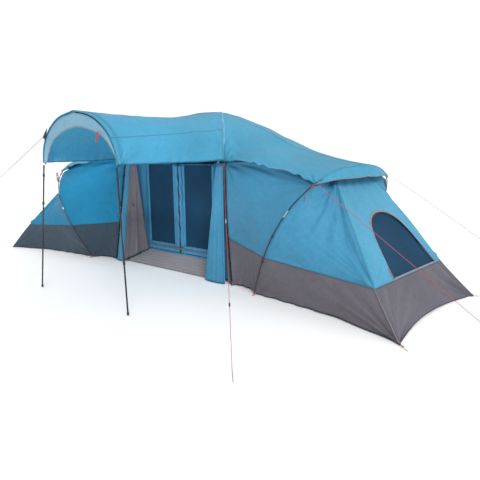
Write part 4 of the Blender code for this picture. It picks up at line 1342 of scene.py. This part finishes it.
def make_groundsheet(name, corners, seed, rests_on):
    s = panel_surface([(x, y, GROUND_Z) for x, y in corners], (61, 61), (0, 0, 5))
    s.push(0.0012 + ripples(s, seed, (0.0012, 12, 12)))
    cloth(f"{name}_cloth", s, "floor", "groundsheet", [name], rests_on, "laid")


def make_divider(side, name):
    """A bedroom's inner wall round its arched doorway."""
    half = smooth_points(DIVIDER_HALF, 41)
    door = smooth_points(DOORWAY_HALF, 41)

    def place(u, v):
        k, sign = mirrored_half(u)
        y, _, z = read(door, k).lerp(read(half, k), v)
        return Vector((side * DIVIDER_X, sign * y, z))

    s = surface(place, (61, 5), (121, 25), (0, 0, 0.8))
    s.push(0.005 * np.sin(s.u * 70 + 3 * np.sin(9 * s.u)) * (1 - s.v * 0.5) * rim(s, high_v=0.06))
    label = f"bedroom_divider_{name}"
    obj = cloth(f"{label}_cloth", s, "inner", "inner_fabric", [label], ["hub_pole_upper"], "hung")
    binding(f"{label}_zip", s, (0.01, 0.0, 0.99, 0.0, 90), "dark", 0.0035, obj)


def make_inside():
    x, y0, y1 = HUB_SHEET_HALF_X, GROUND_FRONT_Y, HUB_SHEET_REAR_Y
    make_groundsheet("groundsheet_hub", ((-x, y0), (x, y0), (x, y1), (-x, y1)), 101, [])
    start_x, start_y, end_a, end_b = GROUND_WING
    for side, name in SIDES:
        near, far = wing_to_world(side, end_a, -end_b, 0), wing_to_world(side, end_a, end_b, 0)
        corners = ((side * start_x, y0), near[:2], far[:2], (side * start_x, start_y))
        make_groundsheet(f"groundsheet_wing_{name}", corners, 102, ["groundsheet_hub_cloth"])
        make_divider(side, name)


# Canopy front


def make_canopy_band():
    """The pale band that stiffens the canopy's arch, facing forward."""
    outer = smooth_points([(x, CANOPY_EDGE_Y, z) for x, z in CANOPY_ARCH_HALF], 41)
    inner = smooth_points([(x, CANOPY_EDGE_Y + 0.005, z) for x, z in BAND_INNER], 41)

    def place(u, v):
        t, sign = mirrored_half(u)
        x, y, z = read(outer, t).lerp(read(inner, t), v)
        return Vector((sign * x, y + 0.020 * v, z))

    s = surface(place, (81, 5), (161, 21), (0, -5, 1.5))
    s.push(0.0010 * np.sin(s.u * 90 + 3 * np.sin(s.u * 14)) * s.v)
    obj = cloth("canopy_band_cloth", s, "band", "roof_fabric", [], ["canopy_arch"], "hung")
    binding("canopy_band_hem", s, (0, 1, 1, 1, 120), "tape", 0.0028, obj)


def make_tabs():
    """The tabs that the canopy's guy ropes are tied to."""
    left = ((-0.478, -2.292, 1.655), (-0.500, -2.302, 1.638), (-0.519, -2.309, 1.622))
    ribbon(
        "canopy_guy_tab_left", left, (0.35, 0, 0.94),
        [0.130, 0.066, 0.008], "dark", "runner_black", thickness=0.003,
    )
    right = ((0.350, -2.298, 1.655), (0.352, -2.304, 1.610), (0.338, -2.306, 1.565))
    ribbon(
        "canopy_guy_tab_right", right, (0.8, 0, 0.5),
        [0.030, 0.050, 0.026], "red_tape", "rope_red", thickness=0.003,
    )


# Poles, fittings and pegs


def add_clips(prefix, label, line, heights, radius, way, steps, width, looks):
    """Moulded clips round a leg, each with its tab to the wall."""
    for k, z in enumerate(heights):
        along = ring_on(
            f"{prefix}_clip_{label}_{k}", line, z, radius, CLIP_WALLS, 0.030, looks[k], "runner_black",
        )
        tab = [line(z) + way * step for step in steps]
        ribbon(f"{prefix}_clip_tab_{label}_{k}", tab, along, width, "dark", "runner_black", thickness=0.002)


def add_peg_loop(name, leg, out):
    foot = leg(0.03)
    side_way = UP.cross(out)
    strap = [foot - out * 0.020 + UP * 0.020, foot + out * 0.004, foot + out * 0.030 - UP * 0.020]
    strap = [p + side_way * 0.014 for p in strap]
    ribbon(name, strap, side_way, 0.012, "red_tape", "rope_red", thickness=0.0016)


def dress_legs(side, name, front, where):
    label = f"{where}_{name}"
    hub = hub_leg(side, front)
    arch = arch_leg(side, front)
    inward = Vector((-side * 0.25, front * 0.97, 0))
    add_clips(
        "hub", label, hub, (0.36, 0.80, 1.16), HUB_POLE_R,
        inward, (0.009, 0.013, 0.0165), 0.020, ["clip"] * 3,
    )
    ring_on(f"hub_ferrule_{label}", hub, 0.72, HUB_POLE_R, FERRULE_WALLS, 0.045, "steel", "steel")
    looks = ["clip", "white_clip" if side < 0 else "clip"]
    across = wing_way(side, 0, front, 0)
    add_clips("arch", label, arch, (0.42, 0.70), ARCH_POLE_R, across, (0.006, 0.010, 0.0145), 0.018, looks)
    ring_on(f"arch_ferrule_{label}", arch, 0.92, ARCH_POLE_R, FERRULE_WALLS, 0.080, "steel", "steel", 0.03)
    add_peg_loop(f"hub_peg_loop_{label}", hub, Vector((side, -front, 0)).normalized())
    add_peg_loop(f"arch_peg_loop_{label}", arch, wing_way(side, 0.3, -front, 0).normalized())
    ring_on(f"hub_strap_{label}", hub, 1.325, HUB_POLE_R, STRAP_WALLS, 0.050, "red_tape", "rope_red")
    if front < 0:
        return
    ring_on(
        f"arch_strap_{label}", arch, 1.165, ARCH_POLE_R, STRAP_WALLS, 0.050, "red_tape", "rope_red", 0.015,
    )
    loop_top = arch(1.12) + Vector((0, -front * 0.010, -0.006))
    hang = []
    for t in np.linspace(0, 1, 14):
        hang.append(loop_top + Vector((0.010 * side * math.sin(math.pi * t), 0, -0.085 * t)))
    cord_curve(f"arch_toggle_loop_{label}", hang, 0.0022, "red", "rope_red")


def dress_corner(side, name, front, where):
    """A corner's red loop and the peg hook in it."""
    corner = end_line(side, front)(0.012)
    out = wing_way(side, 1.0, -front * 0.55, 0).normalized()
    strap = [corner + out * far + UP * rise for far, rise in ((-0.010, 0.010), (0.020, 0), (0.045, -0.004))]
    ribbon(
        f"corner_loop_{where}_{name}", strap, UP.cross(out), 0.012, "red_tape", "rope_red", thickness=0.0016,
    )
    bends = ((0.040, 0.010), (0.052, 0.006), (0.056, -0.006), (0.100, -0.008))
    hook = [corner + out * far + UP * rise for far, rise in bends]
    cord_curve(f"corner_peg_{where}_{name}", hook, 0.0028, "steel", "steel")


def dress_upright(side, name):
    body = f"canopy_upright_{name}"
    foot, top = [Vector((side * x, y, z)) for x, y, z in (UPRIGHT_FOOT, UPRIGHT_TOP)]
    along = (top - foot).normalized()
    ring = sleeve_outline(UPRIGHT_R + 0.0003, UPRIGHT_R + 0.0035, 0.028)
    for k, share in enumerate((0.36, 0.70, 0.92)):
        lathe(f"upright_clip_{name}_{k}", ring, foot.lerp(top, share), along, "clip", "runner_black", body)
    boot = [(0.0005, 0.0), (0.0095, 0.0), (0.0110, 0.004), (0.0110, 0.022), (0.0083, 0.026), (0.0083, 0.006),
            (0.0005, 0.006)]
    lathe(f"upright_foot_{name}", boot, foot + along * 0.0005, along, "clip", "runner_black", body)


def make_toggle(side, name):
    """The toggle that holds a curtain back, on its cord."""
    x = side * 0.655
    y = -1.085 if side > 0 else -1.040
    outline = [
        (0.0005, -0.018), (0.005, -0.018), (0.0065, -0.012),
        (0.0065, 0.012), (0.005, 0.018), (0.0005, 0.018),
    ]
    lathe(f"curtain_toggle_{name}", outline, (x, y - 0.018, 0.78), (0.5 * side, 0, 1), "clip", "runner_black")
    cord = [(x, y - 0.016, 0.80), (x + side * 0.012, y - 0.012, 0.83), (x + side * 0.030, y, 0.84)]
    cord_curve(f"curtain_toggle_cord_{name}", cord, 0.0018, "dark", "runner_black")


def make_hank():
    """The spare rope, coiled and tied on the left arch."""
    place = wing_to_world(-1, 2.215, -SHOULDER_B - 0.085, 1.190)
    for k in range(7):
        wide = 0.0145 - 0.0012 * (k % 3)
        tall = 0.070 - 0.0025 * (k % 4)
        points = []
        for angle in np.linspace(0, 2 * math.pi, 36, endpoint=False):
            z = tall * math.sin(angle) - 0.078
            points.append(place + Vector((wide * math.cos(angle), (k - 3) * 0.0033, z)))
        look = "red" if k % 3 else "white"
        obj = cord_curve(f"guy_hank_loop_{k}", points, 0.0016, look, "rope_red", cyclic=True)
        if k == 0:
            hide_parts("guy_hank_left")
    lathe("guy_hank_tie", sleeve_outline(0.016, 0.0195, 0.020), place - UP * 0.072, UP, "white", "rope_red")


def make_ropes():
    for name, (start, end) in ROUTES.items():
        start, end = Vector(start), Vector(end)
        look = "grey_rope" if name in ("canopy_left", "wing_rear") else "red"
        points = [start.lerp(end, t) for t in np.linspace(0, 1, 32)]
        obj = cord_curve(f"rope_{name}", points, ROPE_R, look, "rope_red")
        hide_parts(f"guy_rope_{name}")


def dress_cad():
    """Better finishes for the CAD nodes that stay as they are."""
    looks = {"arch_pin": "steel", "hub_pin": "steel", "peg_": "steel", "rope_runner": "clip",
             "door_zip_slider": "steel", "canopy_arch": "pole", "canopy_upright": "pole",
             "hub_pole": "pole", "wing_arch": "pole"}
    for obj in bpy.data.objects:
        if "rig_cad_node" not in obj or obj.hide_render:
            continue
        for prefix, look in looks.items():
            if obj.name.startswith(prefix):
                for slot in obj.material_slots:
                    slot.material = MATERIALS[look]


# The room


def add_light(name, kind, energy):
    lamp = bpy.data.lights.new(name, kind)
    lamp.energy = energy
    placed = bpy.data.objects.new(name, lamp)
    bpy.context.scene.collection.objects.link(placed)
    return lamp, placed


def add_room():
    """A pale floor, a soft sky that is brighter behind the tent, a broad sun and a soft fill."""
    material, _, shader = new_material("studio_floor", 0.9)
    shader.inputs["Base Color"].default_value = (0.93, 0.93, 0.93, 1)
    bpy.ops.mesh.primitive_plane_add(size=60, location=(0, 0, -0.0005))
    plane = bpy.context.object
    plane.name = "studio_floor"
    plane.data.materials.append(material)
    world = bpy.data.worlds.new("studio")
    bpy.context.scene.world = world
    world.use_nodes = True
    tree = world.node_tree
    sky = tree.nodes["Background"]
    sky.inputs[0].default_value = (1, 1, 1, 1)
    direction = parts_of(tree, tree.nodes.new("ShaderNodeTexCoord").outputs["Generated"])
    far_side = ranged(tree, direction[1], -0.35, 0.15)
    tree.links.new(maths(tree, "MULTIPLY_ADD", far_side, 0.42, 0.62), sky.inputs[1])
    sun, key = add_light("key", "SUN", 2.3)
    sun.angle = math.radians(28)
    key.rotation_euler = Vector((-0.62, 0.52, -0.62)).to_track_quat("-Z", "Y").to_euler()
    panel, under = add_light("canopy_fill", "AREA", 8.0)
    panel.size = 1.1
    under.location = (0.0, -1.75, 0.60)
    under.rotation_euler = (math.pi, 0.0, 0.0)
    under.visible_camera = False
    bpy.context.scene.view_settings.view_transform = "Standard"


# Building it all


def make_wing(side, name):
    make_wing_roof(side, name)
    for front, where in ENDS:
        wall, skirt = side_places(side, front)
        make_wing_wall(side, name, front, where, wall)
        make_wing_skirt(side, name, front, where, skirt)
    make_wing_end(side, name)
    make_gable(side, name)


def make_fittings():
    for side, name in SIDES:
        for front, where in ENDS:
            dress_legs(side, name, front, where)
        for front, where in ENDS:
            dress_corner(side, name, front, where)
    for side, name in SIDES:
        dress_upright(side, name)
    for side, name in SIDES:
        make_toggle(side, name)


make_ropes()
for wing_side, wing_name in SIDES:
    make_wing(wing_side, wing_name)
make_pole_sleeves(make_canopy_roof())
make_rear_roof()
make_rear_hub_walls()
make_door_frame()
for door_side, door_name in SIDES:
    make_mesh_door(door_side, door_name)
make_curtain(1, "right", 0.128, 0.046, 0.775, 0.770)
make_curtain(-1, "left", 0.062, 0.034, 0.870, 0.735)
make_lining()
make_inside()
make_canopy_band()
make_tabs()
make_fittings()
make_hank()
dress_cad()
add_room()
bpy.context.view_layer.update()
